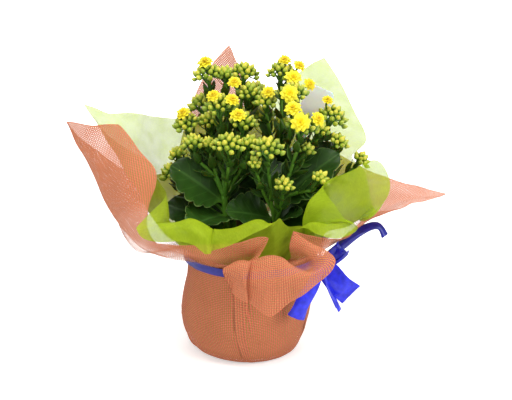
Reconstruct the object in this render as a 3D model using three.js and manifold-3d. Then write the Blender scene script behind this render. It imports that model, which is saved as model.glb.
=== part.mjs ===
// A potted flaming katy (a succulent with clusters of yellow double flowers) in a gift wrapping.
// Millimetres, +Z up. The wrapped pot stands on Z = 0 with its axis on Z, and the front is towards -Y.
import * as THREE from "three";
import { mergeVertices } from "three/addons/utils/BufferGeometryUtils.js";
import Module from "manifold-3d";

const wasm = await Module();
wasm.setup();

// Driving dimensions.
const GAP = 0.3; // left between pieces that touch
const SHEET = 0.8; // thickness of a wrapping sheet
const NECK_Z = 110; // height at which the ribbon gathers the sheets, at the sides
const NECK_TILT = 3; // the gathering is this much higher at the front and lower at the back
const WRAP_SHIFT = 8; // the wrapping is looser on its left by this much
const INNER_INSET = 2.6; // the inner sheet lies this far inside the outer one round the pot
const POT_BASE_Z = 2.2; // the pot stands on the two sheets
const POT_TOP_Z = 116;
const POT_WALL = 1.6;
const SOIL_TOP_Z = 103;
const STEM_BEND_Z = 108; // above the soil the stems lean
const STEM_FOOT_Z = 84; // depth to which the stems stand in the soil
const STEM_RADIUS = 4;
const STALK_RADIUS = 1.5;
const LEAF_THICKNESS = 1.8;
const LEAF_START = 5.5; // clear of its own stem
const LEAF_FOLD = 0.28; // rise of the leaf's edges over their distance from the midrib
const LEAF_BEND = 0.16; // droop of the leaf's tip over its length
const BUD_TIP = 3.6; // from a bud's widest place to its tip
const BUD_WIDTH = 5.6;
const RIBBON = 0.8; // thickness of the ribbon

// Helpers.
const vec = (p) => new THREE.Vector3(p[0], p[1], p[2]);
const radians = THREE.MathUtils.degToRad;

// A closed surface from a list of vertices and a list of triangles.
function polyhedron(vertices, triangles) {
  const geometry = new THREE.BufferGeometry();
  const coordinates = vertices.flatMap((v) => [v.x, v.y, v.z]);
  geometry.setAttribute("position", new THREE.Float32BufferAttribute(coordinates, 3));
  geometry.setIndex(triangles.flat());
  return geometry;
}

function toSolid(geometry) {
  const bare = geometry.clone();
  bare.deleteAttribute("normal");
  bare.deleteAttribute("uv");
  const merged = mergeVertices(bare, 1e-4);
  return new wasm.Manifold(
    new wasm.Mesh({
      numProp: 3,
      vertProperties: merged.attributes.position.array,
      triVerts: new Uint32Array(merged.index.array),
    }),
  );
}

// One body from solids that overlap, with any small hollow between them filled and any loose scrap dropped.
function fuse(solids) {
  const whole = solids.reduce((joined, solid) => joined.add(solid));
  return whole.decompose().reduce((a, b) => (b.volume() > a.volume() ? b : a));
}

function toGeometry(solid) {
  const mesh = solid.getMesh();
  const geometry = new THREE.BufferGeometry();
  geometry.setAttribute("position", new THREE.BufferAttribute(new Float32Array(mesh.vertProperties), 3));
  geometry.setIndex(new THREE.BufferAttribute(new Uint32Array(mesh.triVerts), 1));
  return geometry;
}

function boundsOf(solid) {
  const geometry = toGeometry(solid);
  geometry.computeBoundingBox();
  return geometry.boundingBox;
}

// Solids that are already in place, each with its bounds.
const placed = [];

const keep = (solid) => {
  placed.push({ solid, bounds: boundsOf(solid) });
  return solid;
};

// True where the solid meets nothing that is in place, apart from the one piece it grows from.
function isClear(solid, own) {
  const bounds = boundsOf(solid);
  return placed
    .filter((other) => other.solid !== own && other.bounds.intersectsBox(bounds))
    .every((other) => solid.intersect(other.solid).isEmpty());
}

// A round stalk along a smooth curve through the points, with a radius at its foot and one at its top.
function stalk(points, footRadius, topRadius, sides, spans) {
  const curve = new THREE.CatmullRomCurve3(points);
  const vertices = [];
  const triangles = [];
  let across = new THREE.Vector3(1, 0, 0);
  for (let k = 0; k <= spans; k++) {
    const share = k / spans;
    const along = curve.getTangent(share);
    across = across.clone().addScaledVector(along, -across.dot(along)).normalize();
    const beside = along.clone().cross(across);
    const radius = THREE.MathUtils.lerp(footRadius, topRadius, share);
    for (let i = 0; i < sides; i++) {
      const angle = (2 * Math.PI * i) / sides;
      vertices.push(
        curve
          .getPoint(share)
          .addScaledVector(across, radius * Math.cos(angle))
          .addScaledVector(beside, radius * Math.sin(angle)),
      );
    }
  }
  for (let k = 0; k < spans; k++) {
    for (let i = 0; i < sides; i++) {
      const a = k * sides + i;
      const b = k * sides + ((i + 1) % sides);
      triangles.push([a, b, b + sides], [a, b + sides, a + sides]);
    }
  }
  for (let i = 1; i < sides - 1; i++) {
    const top = spans * sides;
    triangles.push([0, i + 1, i], [top, top + i, top + i + 1]);
  }
  return toSolid(polyhedron(vertices, triangles));
}

const lathe = (profile, segments) => {
  const geometry = new THREE.LatheGeometry(
    profile.map(([r, z]) => new THREE.Vector2(r, z)),
    segments,
  );
  return toSolid(geometry.rotateX(Math.PI / 2));
};

// Wrapping sheets.
// Each sheet is a disc under the pot, a side that follows the pot, and a flare above the ribbon. The flare
// goes through four points at each azimuth, so that the sheet can stand, roll and turn down.
const SIDE = [
  [0, 45],
  [2.5, 54],
  [9, 60],
  [36, 65.6],
  [104, 68],
]; // height and radius of the outer sheet round the pot, the last one at the neck
const SHIFT_SHARE = [
  [0, 0.4],
  [9, 1],
  [60, 1],
  [104, 0],
]; // height and share of the sideways shift

function interpolate(table, at) {
  const k = Math.max(1, table.findIndex((row) => row[0] >= at));
  const [x0, y0] = table[k - 1];
  const [x1, y1] = table[k];
  return y0 + ((y1 - y0) * (at - x0)) / (x1 - x0);
}

const neckHeight = (azimuth) => NECK_Z - NECK_TILT * Math.sin(azimuth);

const sideRadius = (azimuth, z) =>
  interpolate(SIDE, z) - WRAP_SHIFT * interpolate(SHIFT_SHARE, z) * Math.cos(azimuth);

const FLARE_ROWS = [0.8, 1.8, 2.9, 4];

// The points of one sheet from its disc's edge to its rim at one station.
function sheetColumn([degrees, ...flare], inset, lift) {
  const azimuth = radians(degrees);
  const side = SIDE.map(([z], k) => {
    const radius = sideRadius(azimuth, z) - (k === 0 ? inset / 2 : inset);
    const height = k === SIDE.length - 1 ? neckHeight(azimuth) : z + lift;
    return new THREE.Vector3(radius * Math.cos(azimuth), radius * Math.sin(azimuth), height);
  });
  const curve = new THREE.CatmullRomCurve3([...side, ...flare.map(vec)]);
  const spans = SIDE.length + flare.length - 1;
  const rows = FLARE_ROWS.map((row) => curve.getPoint((SIDE.length - 1 + row) / spans));
  return [...side, ...rows];
}

function wrappingSheet(stations, inset, lift) {
  const columns = stations.map((station) => sheetColumn(station, inset, lift));
  const count = columns.length;
  const rows = columns[0].length;
  const outside = [new THREE.Vector3(0, 0, lift)];
  const inside = [new THREE.Vector3(0, 0, lift + SHEET)];
  columns.forEach((column, i) => {
    const before = columns[(i + count - 1) % count];
    const after = columns[(i + 1) % count];
    column.forEach((point, k) => {
      const round = after[k].clone().sub(before[k]);
      const up = column[Math.min(k + 1, rows - 1)].clone().sub(column[Math.max(k - 1, 0)]);
      const outward = k === 0 ? new THREE.Vector3(0, 0, -1) : round.cross(up).normalize();
      outside.push(point);
      inside.push(point.clone().addScaledVector(outward, -SHEET));
    });
  });
  const half = outside.length;
  const at = (i, k) => 1 + (i % count) * rows + k;
  const triangles = [];
  for (let i = 0; i < count; i++) {
    triangles.push([0, at(i + 1, 0), at(i, 0)], [half, half + at(i, 0), half + at(i + 1, 0)]);
    for (let k = 0; k < rows - 1; k++) {
      const [a, b, c, d] = [at(i, k), at(i + 1, k), at(i + 1, k + 1), at(i, k + 1)];
      triangles.push([a, b, c], [a, c, d], [half + a, half + c, half + b], [half + a, half + d, half + c]);
    }
    const [e, f] = [at(i, rows - 1), at(i + 1, rows - 1)];
    triangles.push([e, f, half + f], [e, half + f, half + e]);
  }
  return keep(toSolid(polyhedron([...outside, ...inside], triangles)));
}

// The stations of the outer sheet, the woven one: azimuth in degrees and four points from neck to rim.
const OUTER_STATIONS = [
  [180, [-114, -5, 105], [-139, -8, 144], [-162, -10, 198], [-182, -12, 243]], // left corner
  [193, [-107, -22, 111], [-134, -28, 145], [-150, -30, 192], [-154, -24, 243]],
  // turned-in front half of the left corner
  [205, [-97, -36, 114], [-125, -44, 139], [-136, -44, 180], [-127, -34, 247]],
  [215, [-86, -48, 117], [-113, -56, 133], [-125, -58, 173], [-108, -46, 225]],
  [224, [-74, -58, 119], [-99, -66, 132], [-112, -66, 164], [-91, -57, 205]],
  [231, [-63, -65, 119], [-85, -74, 132], [-98, -73, 147], [-101, -67, 165]],
  [236, [-56, -70, 120], [-75, -80, 134], [-88, -83, 141], [-95, -82, 147]],
  [241, [-50, -74, 120], [-65, -85, 134], [-76, -89, 141], [-81, -90, 146]],
  [248, [-36, -78, 119], [-42, -87, 131], [-48, -92, 141], [-51, -93, 147]],
  [255, [-22, -80, 118], [-22, -89, 132], [-20, -94, 142], [-19, -96, 149]],
  [260, [-12, -81, 119], [-8, -90, 135], [-4, -94, 147], [-1, -96, 154]],
  [264, [-6, -81, 119], [1, -90, 135], [9, -95, 147], [14, -97, 156]], // end of the standing fold
  [267, [-4, -84, 120], [-6, -94, 131], [-3, -101, 133], [-3, -103, 126]], // fold back over it
  [259, [-9, -86, 121], [-21, -98, 129], [-29, -103, 126], [-22, -100, 104]],
  [265, [-3, -88, 122], [-12, -102, 135], [-16, -108, 123], [-12, -104, 98]],
  [270, [3, -88, 122], [-1, -104, 136], [-6, -111, 121], [-5, -106, 95]],
  [275, [9, -88, 123], [10, -105, 139], [7, -113, 115], [6, -108, 86]],
  // lowest tip of the turned-down front corner
  [280, [16, -88, 124], [20, -105, 140], [18, -114, 114], [17, -110, 81]],
  [285, [24, -87, 125], [29, -106, 138], [31, -116, 121], [35, -112, 96]],
  [290, [33, -86, 125], [40, -108, 131], [47, -115, 125], [50, -112, 107]],
  [294, [41, -84, 125], [53, -104, 127], [62, -109, 128], [65, -108, 117]],
  [298, [45, -83, 127], [57, -97, 129], [69, -100, 133], [77, -98, 132]], // rolled lobe, its end
  [299, [45, -80, 128], [52, -88, 135], [61, -90, 139], [71, -88, 136]],
  [296, [41, -78, 129], [45, -82, 138], [49, -83, 143], [54, -82, 145]],
  [293, [36, -76, 127], [34, -78, 138], [35, -77, 148], [37, -76, 155]], // top of the panel behind the lobe
  [300, [43, -70, 123], [48, -71, 132], [52, -70, 140], [54, -69, 147]],
  [312, [57, -60, 122], [69, -62, 130], [78, -60, 136], [85, -57, 139]],
  [328, [69, -44, 122], [86, -41, 131], [98, -36, 138], [107, -30, 144]],
  [345, [78, -22, 121], [97, -15, 130], [114, -6, 138], [128, 2, 145]],
  [362, [82, 4, 119], [111, 20, 127], [152, 42, 136], [179, 56, 135]],
  [374, [81, 20, 120], [115, 40, 128], [163, 64, 134], [206, 78, 138]], // right corner
  [388, [78, 36, 122], [108, 56, 132], [151, 74, 145], [180, 86, 141]],
  [404, [68, 52, 123], [87, 70, 144], [116, 84, 152], [148, 92, 147]],
  [420, [52, 66, 125], [60, 80, 151], [71, 92, 172], [84, 100, 178]],
  [438, [29, 76, 126], [24, 90, 165], [18, 100, 201], [9, 108, 223]],
  [452, [9, 78, 126], [-8, 94, 175], [-16, 106, 226], [-18, 110, 274]],
  [461, [-3, 78, 126], [-18, 94, 180], [-24, 106, 237], [-25, 112, 290]], // back corner
  [470, [-18, 76, 125], [-37, 90, 173], [-45, 100, 228], [-49, 106, 262]],
  [484, [-39, 68, 124], [-56, 80, 163], [-64, 88, 199], [-67, 96, 225]],
  [500, [-60, 54, 122], [-78, 64, 140], [-86, 69, 155], [-89, 72, 165]],
  [516, [-84, 36, 116], [-111, 40, 138], [-122, 42, 165], [-128, 42, 175]],
  [528, [-101, 14, 112], [-129, 14, 142], [-148, 14, 180], [-157, 14, 206]], // back half of the left corner
];

// The stations of the inner sheet, the lime one.
const INNER_STATIONS = [
  [168, [-84, 8, 125], [-113, 4, 172], [-141, 2, 220], [-165, 2, 257]], // left corner
  [180, [-87, -8, 127], [-112, -10, 166], [-132, -10, 205], [-145, -9, 232]],
  [192, [-84, -24, 129], [-103, -26, 163], [-114, -24, 196], [-119, -20, 217]],
  [203, [-80, -34, 131], [-92, -36, 159], [-100, -34, 186], [-96, -30, 205]], // standing strip
  [213, [-71, -42, 132], [-78, -46, 149], [-87, -47, 170], [-91, -40, 193]],
  [220, [-73, -50, 133], [-80, -56, 150], [-80, -56, 165], [-83, -50, 181]],
  [226, [-68, -57, 131], [-83, -64, 152], [-95, -78, 163], [-110, -80, 159]], // first turned-down tip
  [231, [-63, -63, 133], [-77, -72, 159], [-90, -90, 166], [-103, -90, 153]],
  [236, [-56, -68, 134], [-68, -80, 165], [-80, -98, 168], [-88, -98, 152]],
  [241, [-49, -72, 134], [-59, -84, 170], [-65, -100, 169], [-68, -101, 154]],
  [246, [-43, -74, 134], [-48, -86, 167], [-51, -102, 164], [-53, -103, 151]],
  [250, [-35, -75, 135], [-38, -88, 162], [-41, -105, 159], [-43, -107, 145]], // second turned-down tip
  [253, [-29, -75, 135], [-34, -86, 159], [-36, -99, 156], [-34, -104, 146]],
  [256, [-24, -75, 134], [-23, -84, 159], [-23, -98, 158], [-21, -103, 150]],
  [262, [-12, -76, 132], [-6, -84, 163], [-6, -97, 166], [-4, -102, 159]],
  [268, [-3, -75, 130], [9, -84, 167], [10, -94, 170], [12, -99, 166]],
  [275, [7, -73, 127], [18, -78, 148], [21, -82, 162], [24, -85, 171]],
  [281, [16, -70, 125], [22, -73, 135], [28, -72, 147], [33, -72, 158]], // valley
  [286, [26, -65, 126], [34, -66, 141], [40, -67, 152], [45, -71, 158]],
  [291, [34, -61, 129], [47, -60, 149], [56, -74, 161], [62, -80, 152]],
  [296, [40, -58, 131], [59, -58, 151], [75, -70, 160], [81, -76, 147]],
  [300, [45, -55, 132], [67, -54, 151], [89, -62, 160], [100, -64, 151]], // collar under the roll
  [303, [46, -54, 132], [57, -60, 149], [75, -68, 159], [89, -70, 161]],
  [306, [48, -53, 133], [53, -60, 153], [66, -68, 171], [80, -70, 175]],
  [309, [50, -52, 134], [49, -60, 162], [54, -64, 179], [66, -62, 194]], // rolled corner, front edge
  [313, [52, -50, 134], [51, -54, 161], [62, -54, 182], [76, -48, 197]],
  [319, [58, -45, 133], [69, -42, 153], [84, -36, 177], [95, -32, 199]],
  [327, [64, -38, 133], [85, -30, 148], [105, -20, 172], [122, -14, 204]], // rolled corner, top
  [335, [68, -30, 132], [92, -24, 144], [116, -12, 160], [135, -6, 181]],
  [343, [72, -20, 130], [96, -20, 138], [120, -14, 150], [134, -6, 164]],
  [350, [74, -10, 130], [97, -12, 136], [113, -19, 147], [121, -21, 155]], // rolled corner, lower end
  [356, [76, 0, 129], [92, 4, 137], [106, 4, 144], [120, 4, 152]],
  [368, [76, 14, 130], [89, 24, 143], [101, 36, 158], [114, 44, 175]],
  [380, [73, 26, 130], [83, 40, 150], [94, 54, 171], [103, 60, 184]],
  [392, [67, 38, 130], [78, 52, 155], [95, 66, 181], [118, 72, 198]],
  [406, [57, 50, 132], [72, 66, 167], [89, 80, 207], [105, 86, 227]],
  [418, [47, 60, 133], [60, 78, 180], [68, 94, 230], [75, 106, 278]], // back corner
  [432, [30, 66, 134], [37, 82, 184], [43, 96, 235], [53, 104, 266]],
  [448, [9, 70, 134], [9, 84, 178], [9, 92, 214], [9, 98, 234]],
  [466, [-16, 66, 134], [-26, 78, 174], [-33, 86, 205], [-37, 90, 223]],
  [482, [-37, 58, 131], [-54, 68, 167], [-66, 74, 198], [-74, 78, 220]],
  [496, [-55, 48, 128], [-78, 52, 166], [-96, 56, 199], [-106, 60, 228]],
  [508, [-69, 36, 126], [-93, 34, 167], [-112, 34, 210], [-122, 38, 238]],
  [518, [-79, 22, 125], [-104, 16, 171], [-126, 14, 216], [-143, 16, 244]],
];

const wrapOuter = wrappingSheet(OUTER_STATIONS, 0, 0);
const wrapInner = wrappingSheet(INNER_STATIONS, INNER_INSET, SHEET + GAP);

// Pot and soil.
const POT_PROFILE = [
  [0, POT_BASE_Z],
  [39, POT_BASE_Z],
  [42, POT_BASE_Z + 2.5],
  [60.5, 103],
  [63, 106],
  [63, POT_TOP_Z],
  [63 - POT_WALL, POT_TOP_Z],
  [63 - POT_WALL, 107],
  [60.5 - POT_WALL, 103],
  [42 - POT_WALL, POT_BASE_Z + 4],
  [38, POT_BASE_Z + POT_WALL],
  [0, POT_BASE_Z + POT_WALL],
];

const drainHole = (turn) => {
  const hole = new THREE.CylinderGeometry(3.5, 3.5, 8, 6).rotateX(Math.PI / 2);
  return toSolid(hole.translate(24 * Math.cos(turn), 24 * Math.sin(turn), POT_BASE_Z));
};

const drainHoles = [0, 1, 2, 3].map((k) => drainHole((k * Math.PI) / 2));
const pot = keep(drainHoles.reduce((solid, hole) => solid.subtract(hole), lathe(POT_PROFILE, 16)));

const SOIL_PROFILE = [
  [0, POT_BASE_Z + POT_WALL + GAP],
  [37.6, POT_BASE_Z + POT_WALL + GAP],
  [39.6, POT_BASE_Z + 4.4],
  [57.6, SOIL_TOP_Z - 3],
  [44, SOIL_TOP_Z],
  [20, SOIL_TOP_Z + 1.5],
  [0, SOIL_TOP_Z + 2],
];

// Plant label: a blank tag on a stake.
const LABEL_TOP = [70, 25, 268];
const LABEL_FOOT = [-4, 44, 88];
const LABEL_THICKNESS = 1;

function labelSolid(margin) {
  const outline = new THREE.Shape();
  outline.moveTo(-3 - margin, -margin);
  outline.lineTo(3 + margin, -margin);
  outline.lineTo(4 + margin, 152);
  outline.lineTo(14 + margin, 162);
  outline.lineTo(14 + margin, 190);
  outline.lineTo(11, 194 + margin);
  outline.lineTo(-11, 194 + margin);
  outline.lineTo(-14 - margin, 190);
  outline.lineTo(-14 - margin, 162);
  outline.lineTo(-4 - margin, 152);
  outline.closePath();
  const depth = LABEL_THICKNESS + 2 * margin;
  const plate = new THREE.ExtrudeGeometry(outline, { depth, bevelEnabled: false });
  plate.translate(0, 0, -depth / 2);
  const up = vec(LABEL_TOP).sub(vec(LABEL_FOOT)).normalize();
  const across = new THREE.Vector3(1, -0.1, 0).addScaledVector(up, -up.x).normalize();
  const facing = across.clone().cross(up);
  const pose = new THREE.Matrix4().makeBasis(across, up, facing).setPosition(vec(LABEL_FOOT));
  return toSolid(plate.applyMatrix4(pose));
}

const label = keep(labelSolid(0));

// Ribbon: a band round the neck and a bow on the right.
const BAND_TOP = 3; // below the neck
const BAND_WIDTH = 8;
const BAND_GAP = 1.2;
const KNOT = [66, -37, 104];

// A flat strip through sections, each a middle point, the direction of its width and its half width.
function strip(sections) {
  const rows = sections.map(([middle, width, half]) => {
    return { middle: vec(middle), width: vec(width).normalize(), half };
  });
  const vertices = [];
  const triangles = [];
  rows.forEach(({ middle, width, half }, k) => {
    const along = rows[Math.min(k + 1, rows.length - 1)].middle.clone().sub(rows[Math.max(k - 1, 0)].middle);
    const face = along.cross(width).normalize().multiplyScalar(RIBBON / 2);
    for (const [side, level] of [[-1, -1], [1, -1], [1, 1], [-1, 1]]) {
      vertices.push(middle.clone().addScaledVector(width, side * half).addScaledVector(face, level));
    }
  });
  for (let k = 0; k < rows.length - 1; k++) {
    for (let i = 0; i < 4; i++) {
      const [a, b] = [4 * k + i, 4 * k + ((i + 1) % 4)];
      triangles.push([a, b, b + 4], [a, b + 4, a + 4]);
    }
  }
  const last = vertices.length - 4;
  triangles.push([0, 2, 1], [0, 3, 2], [last, last + 1, last + 2], [last, last + 2, last + 3]);
  return toSolid(polyhedron(vertices, triangles));
}

function ribbonBand(segments) {
  const vertices = [];
  const triangles = [];
  for (let i = 0; i < segments; i++) {
    const azimuth = (2 * Math.PI * i) / segments;
    for (const [out, down] of [[0, 0], [RIBBON, 0], [RIBBON, BAND_WIDTH], [0, BAND_WIDTH]]) {
      const z = neckHeight(azimuth) - BAND_TOP - down;
      const radius = sideRadius(azimuth, Math.min(z, 104)) + BAND_GAP + out;
      vertices.push(new THREE.Vector3(radius * Math.cos(azimuth), radius * Math.sin(azimuth), z));
    }
    for (let k = 0; k < 4; k++) {
      const next = 4 * ((i + 1) % segments);
      const [a, b, c, d] = [4 * i + k, 4 * i + ((k + 1) % 4), next + ((k + 1) % 4), next + k];
      triangles.push([a, b, c], [a, c, d]);
    }
  }
  return toSolid(polyhedron(vertices, triangles));
}

const knot = toSolid(new THREE.SphereGeometry(1, 6, 4).scale(8, 8, 7).translate(...KNOT));

// Each strip from the knot out: middle point, direction of its width and half width.
const WIDE_TAIL = [
  [[68.4, -38.2, 103.1], [0.7, 0, 0.7], 5],
  [[75, -44, 98], [0.7, 0.1, 0.7], 11],
  [[86, -50, 86], [0.7, 0, 0.7], 12],
  [[97, -48, 76], [0.75, 0, 0.66], 13],
];
const HANGING_TAIL = [
  [[64.7, -40.3, 101.6], [1, 0.3, 0], 4],
  [[60, -54, 93], [0.9, 0.5, 0.2], 6],
  [[50, -64, 78], [0.9, 0.4, 0.3], 8],
  [[42, -66, 60], [0.95, 0.2, 0.2], 9],
];
const NARROW_TAIL = [
  [[67.2, -39.1, 99.9], [0.1, 1, -0.2], 3],
  [[73, -48, 82], [0, 0.94, -0.34], 8],
  [[83, -52, 61], [0, 0.94, -0.34], 9],
];
const UPPER_LOOP = [
  [[66.6, -40.1, 107.4], [0.6, 0.3, -0.6], 4],
  [[74, -54, 116], [0.65, 0.2, -0.7], 6],
  [[83, -62, 129], [0.7, 0, -0.7], 6.5],
  [[86.5, -61.5, 133], [0.7, 0, -0.7], 6.5],
  [[87, -56, 127], [0.7, 0, -0.7], 6.5],
  [[79, -47, 114], [0.65, 0.2, -0.7], 6],
  [[69.3, -38.6, 104.9], [0.6, 0.3, -0.6], 4],
];
const BACK_TAIL = [
  [[69.1, -34.7, 106.1], [0.1, 1, -0.2], 4],
  [[83, -21, 112], [-0.6, 1, 0.1], 5],
  [[104, 1, 120], [-0.6, 1, 0.1], 6],
  [[126, 12, 124], [-0.1, 1, 0.1], 6],
  [[133, 9, 115], [0.3, 1, 0.2], 6],
];

const ribbonStrips = [WIDE_TAIL, HANGING_TAIL, NARROW_TAIL, UPPER_LOOP, BACK_TAIL].map(strip);
const ribbon = keep(fuse([ribbonBand(24), knot, ...ribbonStrips]));

// Leaves.
const PETIOLE = 9;

// Half width of a leaf as a share of its widest, at a share of its length: wedge foot and blunt tip.
const leafHalfWidth = (share) => Math.sin(Math.PI * (0.07 + 0.9 * share ** 0.9)) ** 0.7;

// A scalloped, folded and bent leaf along +X with its upper face towards +Z, and a petiole from X = start.
function leafBlade([length, width, teeth], start, thickness) {
  const steps = 2 * teeth;
  const surface = (share, side) => {
    const beside = (side * leafHalfWidth(share) * width) / 2;
    const fold = LEAF_FOLD * Math.abs(beside);
    const bend = LEAF_BEND * length * share * share;
    return new THREE.Vector3(PETIOLE + length * share, beside, fold - bend);
  };
  const edge = (k, side) => {
    const tooth = k % 2 === 1;
    const share = (k + (tooth ? 0.25 : 0)) / steps;
    return surface(share, side * (k === 0 || k === steps ? 1 : tooth ? 1.09 : 0.88));
  };
  const top = [new THREE.Vector3(start, 0, 0)];
  for (let k = 0; k <= steps; k += 2) {
    top.push(surface(k / steps, 0));
  }
  const middles = top.length;
  for (const side of [1, -1]) {
    top.push(new THREE.Vector3(start, side * 1.8, 0));
    for (let k = 0; k <= steps; k++) {
      top.push(edge(k, side));
    }
  }
  const left = (k) => middles + 1 + k;
  const right = (k) => middles + steps + 3 + k;
  const faces = [
    [0, 1, left(0)],
    [0, left(0), left(-1)],
    [0, right(0), 1],
    [0, right(-1), right(0)],
  ];
  for (let m = 1; m < middles - 1; m++) {
    const k = 2 * (m - 1);
    faces.push([m, left(k + 1), left(k)], [m, m + 1, left(k + 1)], [m + 1, left(k + 2), left(k + 1)]);
    faces.push([m, right(k), right(k + 1)], [m, right(k + 1), m + 1], [m + 1, right(k + 1), right(k + 2)]);
  }
  const rim = [0];
  for (let k = -1; k <= steps; k++) {
    rim.push(right(k));
  }
  rim.push(middles - 1);
  for (let k = steps; k >= -1; k--) {
    rim.push(left(k));
  }
  const count = top.length;
  const bottom = top.map((point) => point.clone().add(new THREE.Vector3(0, 0, -thickness)));
  const triangles = [...faces, ...faces.map(([a, b, c]) => [count + a, count + c, count + b])];
  rim.forEach((a, i) => {
    const b = rim[(i + 1) % rim.length];
    triangles.push([a, count + a, b], [b, count + a, count + b]);
  });
  return polyhedron([...top, ...bottom], triangles);
}

// Flowers.
// Open double flowers: middle of the flower, the direction it faces and its radius.
const BLOOMS = [
  [[-47, 24, 293], [-0.2, -0.3, 1], 9],
  [[-18, 4, 278], [-0.1, -0.5, 0.9], 7.5],
  [[-38, -9, 268], [-0.2, -0.4, 1], 8],
  [[-20, -13, 265], [0.3, -0.5, 1], 8],
  [[-68, 0, 248], [-0.4, -0.4, 1], 8],
  [[-14, -24, 253], [0.1, -0.5, 1], 9],
  [[15, -3, 270], [-0.2, -0.6, 1], 7.5],
  [[31, 20, 296], [0, -0.4, 1], 7],
  [[45, 14, 292], [0.5, -0.4, 0.8], 7],
  [[39, 3, 283], [0.2, -0.8, 0.8], 9],
  [[35, -16, 272], [0, -0.9, 0.6], 9.5],
  [[55, 8, 275], [0.6, -0.6, 0.6], 7],
  [[38, -32, 262], [-0.1, -0.6, 1], 9],
  [[45, -42, 251], [0, -1, 0.5], 10],
  [[62, -30, 251], [0.6, -0.6, 0.7], 8],
  [[73, 7, 259], [0.2, -0.4, 1], 6],
];

// Bud clusters: middle of the cluster, its radius, how many buds, the plant that carries it and the height
// at which its stalk leaves the stem.
const HEADS = [
  [[-45, 25, 283], 15, 8, 2, 178],
  [[-9, 30, 283], 15, 8, 2, 180],
  [[28, 20, 286], 15, 8, 3, 180],
  [[-3, 8, 268], 13, 6, 2, 176],
  [[-32, -6, 259], 17, 8, 0, 170],
  [[-66, 2, 239], 14, 8, 2, 165],
  [[-59, -16, 224], 11, 6, 0, 160],
  [[-23, -42, 232], 15, 8, 0, 125],
  [[-9, -17, 246], 14, 8, 0, 168],
  [[12, 0, 262], 11, 6, 3, 178],
  [[40, -4, 272], 14, 8, 3, 180],
  [[48, -26, 246], 17, 8, 1, 168],
  [[79, 8, 244], 16, 8, 3, 172],
  [[14, -50, 230], 16, 8, 1, 120],
  [[2, -46, 213], 7, 5, 1, 150],
  [[30, -54, 194], 9, 5, 1, 135],
  [[65, -46, 198], 8, 5, 1, 140],
  [[110, 22, 194], 10, 6, 3, 150],
  [[-81, -10, 192], 12, 6, 0, 145],
  [[85, -6, 222], 10, 5, 3, 170],
  [[52, -20, 219], 8, 5, 1, 165],
  [[-52, 44, 246], 15, 7, 2, 172],
  [[2, 52, 258], 15, 7, 2, 174],
  [[58, 46, 240], 15, 7, 3, 174],
  [[30, 46, 226], 10, 5, 3, 165],
  [[-28, 22, 284], 8, 5, 2, 178],
  [[11, 18, 242], 11, 5, 3, 165],
  [[-43, 8, 240], 11, 6, 2, 170],
  [[-3, -40, 232], 8, 5, 0, 150],
  [[-75, -4, 209], 8, 5, 0, 160],
  [[-43, -16, 223], 7, 5, 0, 165],
  [[66, -9, 236], 9, 5, 3, 172],
  [[-24, 66, 238], 12, 5, 2, 160],
  [[32, 72, 248], 12, 6, 3, 165],
];

// The leaves of each plant: height on the stem, azimuth and pitch in degrees, length, width, number of
// scallops on a side, and roll in degrees.
const LEAVES_0 = [
  [162, 186, 42, 56, 50, 5, -50],
  [150, 235, 12, 46, 46, 5, -10],
  [134, 178, 26, 56, 44, 4, -50],
  [108, 215, 32, 43, 34, 4, -20],
  [146, 18, 34, 34, 32, 4, 45],
  [122, 270, 28, 45, 40, 4, -20],
  [104, 139, 30, 46, 38, 3, 0],
  [134, 70, 45, 38, 30, 3, 0],
  [158, 101, 60, 40, 32, 3, 0],
  [166, 335, 56, 46, 36, 3, 20],
];
const LEAVES_1 = [
  [164, 2, 44, 68, 48, 5, 45],
  [140, 359, 40, 54, 48, 4, 48],
  [146, 208, 24, 46, 42, 5, -35],
  [110, 281, 46, 46, 42, 4, 0],
  [126, 25, 40, 54, 42, 4, 35],
  [140, 309, 38, 34, 27, 4, 20],
  [166, 120, 50, 48, 38, 3, 0],
];
const LEAVES_2 = [
  [112, 148, 53, 52, 42, 3, 0],
  [128, 190, 42, 54, 42, 4, -30],
  [146, 98, 48, 54, 42, 3, 0],
  [148, 205, 27, 54, 42, 4, -40],
  [164, 145, 46, 58, 44, 3, -20],
  [176, 200, 50, 46, 38, 4, -50],
  [156, 352, 38, 40, 44, 4, 50],
  [176, 300, 62, 46, 36, 3, 0],
];
const LEAVES_3 = [
  [112, 40, 48, 52, 42, 3, 0],
  [120, 340, 40, 50, 40, 4, 30],
  [142, 12, 36, 58, 44, 4, 35],
  [154, 3, 38, 38, 29, 4, 20],
  [176, 334, 34, 58, 44, 5, 50],
  [148, 165, 27, 40, 40, 4, -50],
  [176, 230, 62, 48, 38, 3, 0],
];

// Each plant: foot and top of its stem, and its leaves.
const PLANTS = [
  { foot: [-24, -18], top: [-28, -21, 170], leaves: LEAVES_0 },
  { foot: [20, -22], top: [24, -25, 168], leaves: LEAVES_1 },
  { foot: [-20, 26], top: [-24, 28, 180], leaves: LEAVES_2 },
  { foot: [26, 24], top: [30, 24, 180], leaves: LEAVES_3 },
];

const SOIL_HOLES = PLANTS.map(({ foot: [x, y] }) => {
  const hole = new THREE.CylinderGeometry(STEM_RADIUS + 1, STEM_RADIUS + 1, 40, 8);
  return toSolid(hole.rotateX(Math.PI / 2).translate(x, y, STEM_FOOT_Z + 20 - GAP));
});

const soil = keep(
  [...SOIL_HOLES, labelSolid(0.35)].reduce((solid, hole) => solid.subtract(hole), lathe(SOIL_PROFILE, 16)),
);

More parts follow.
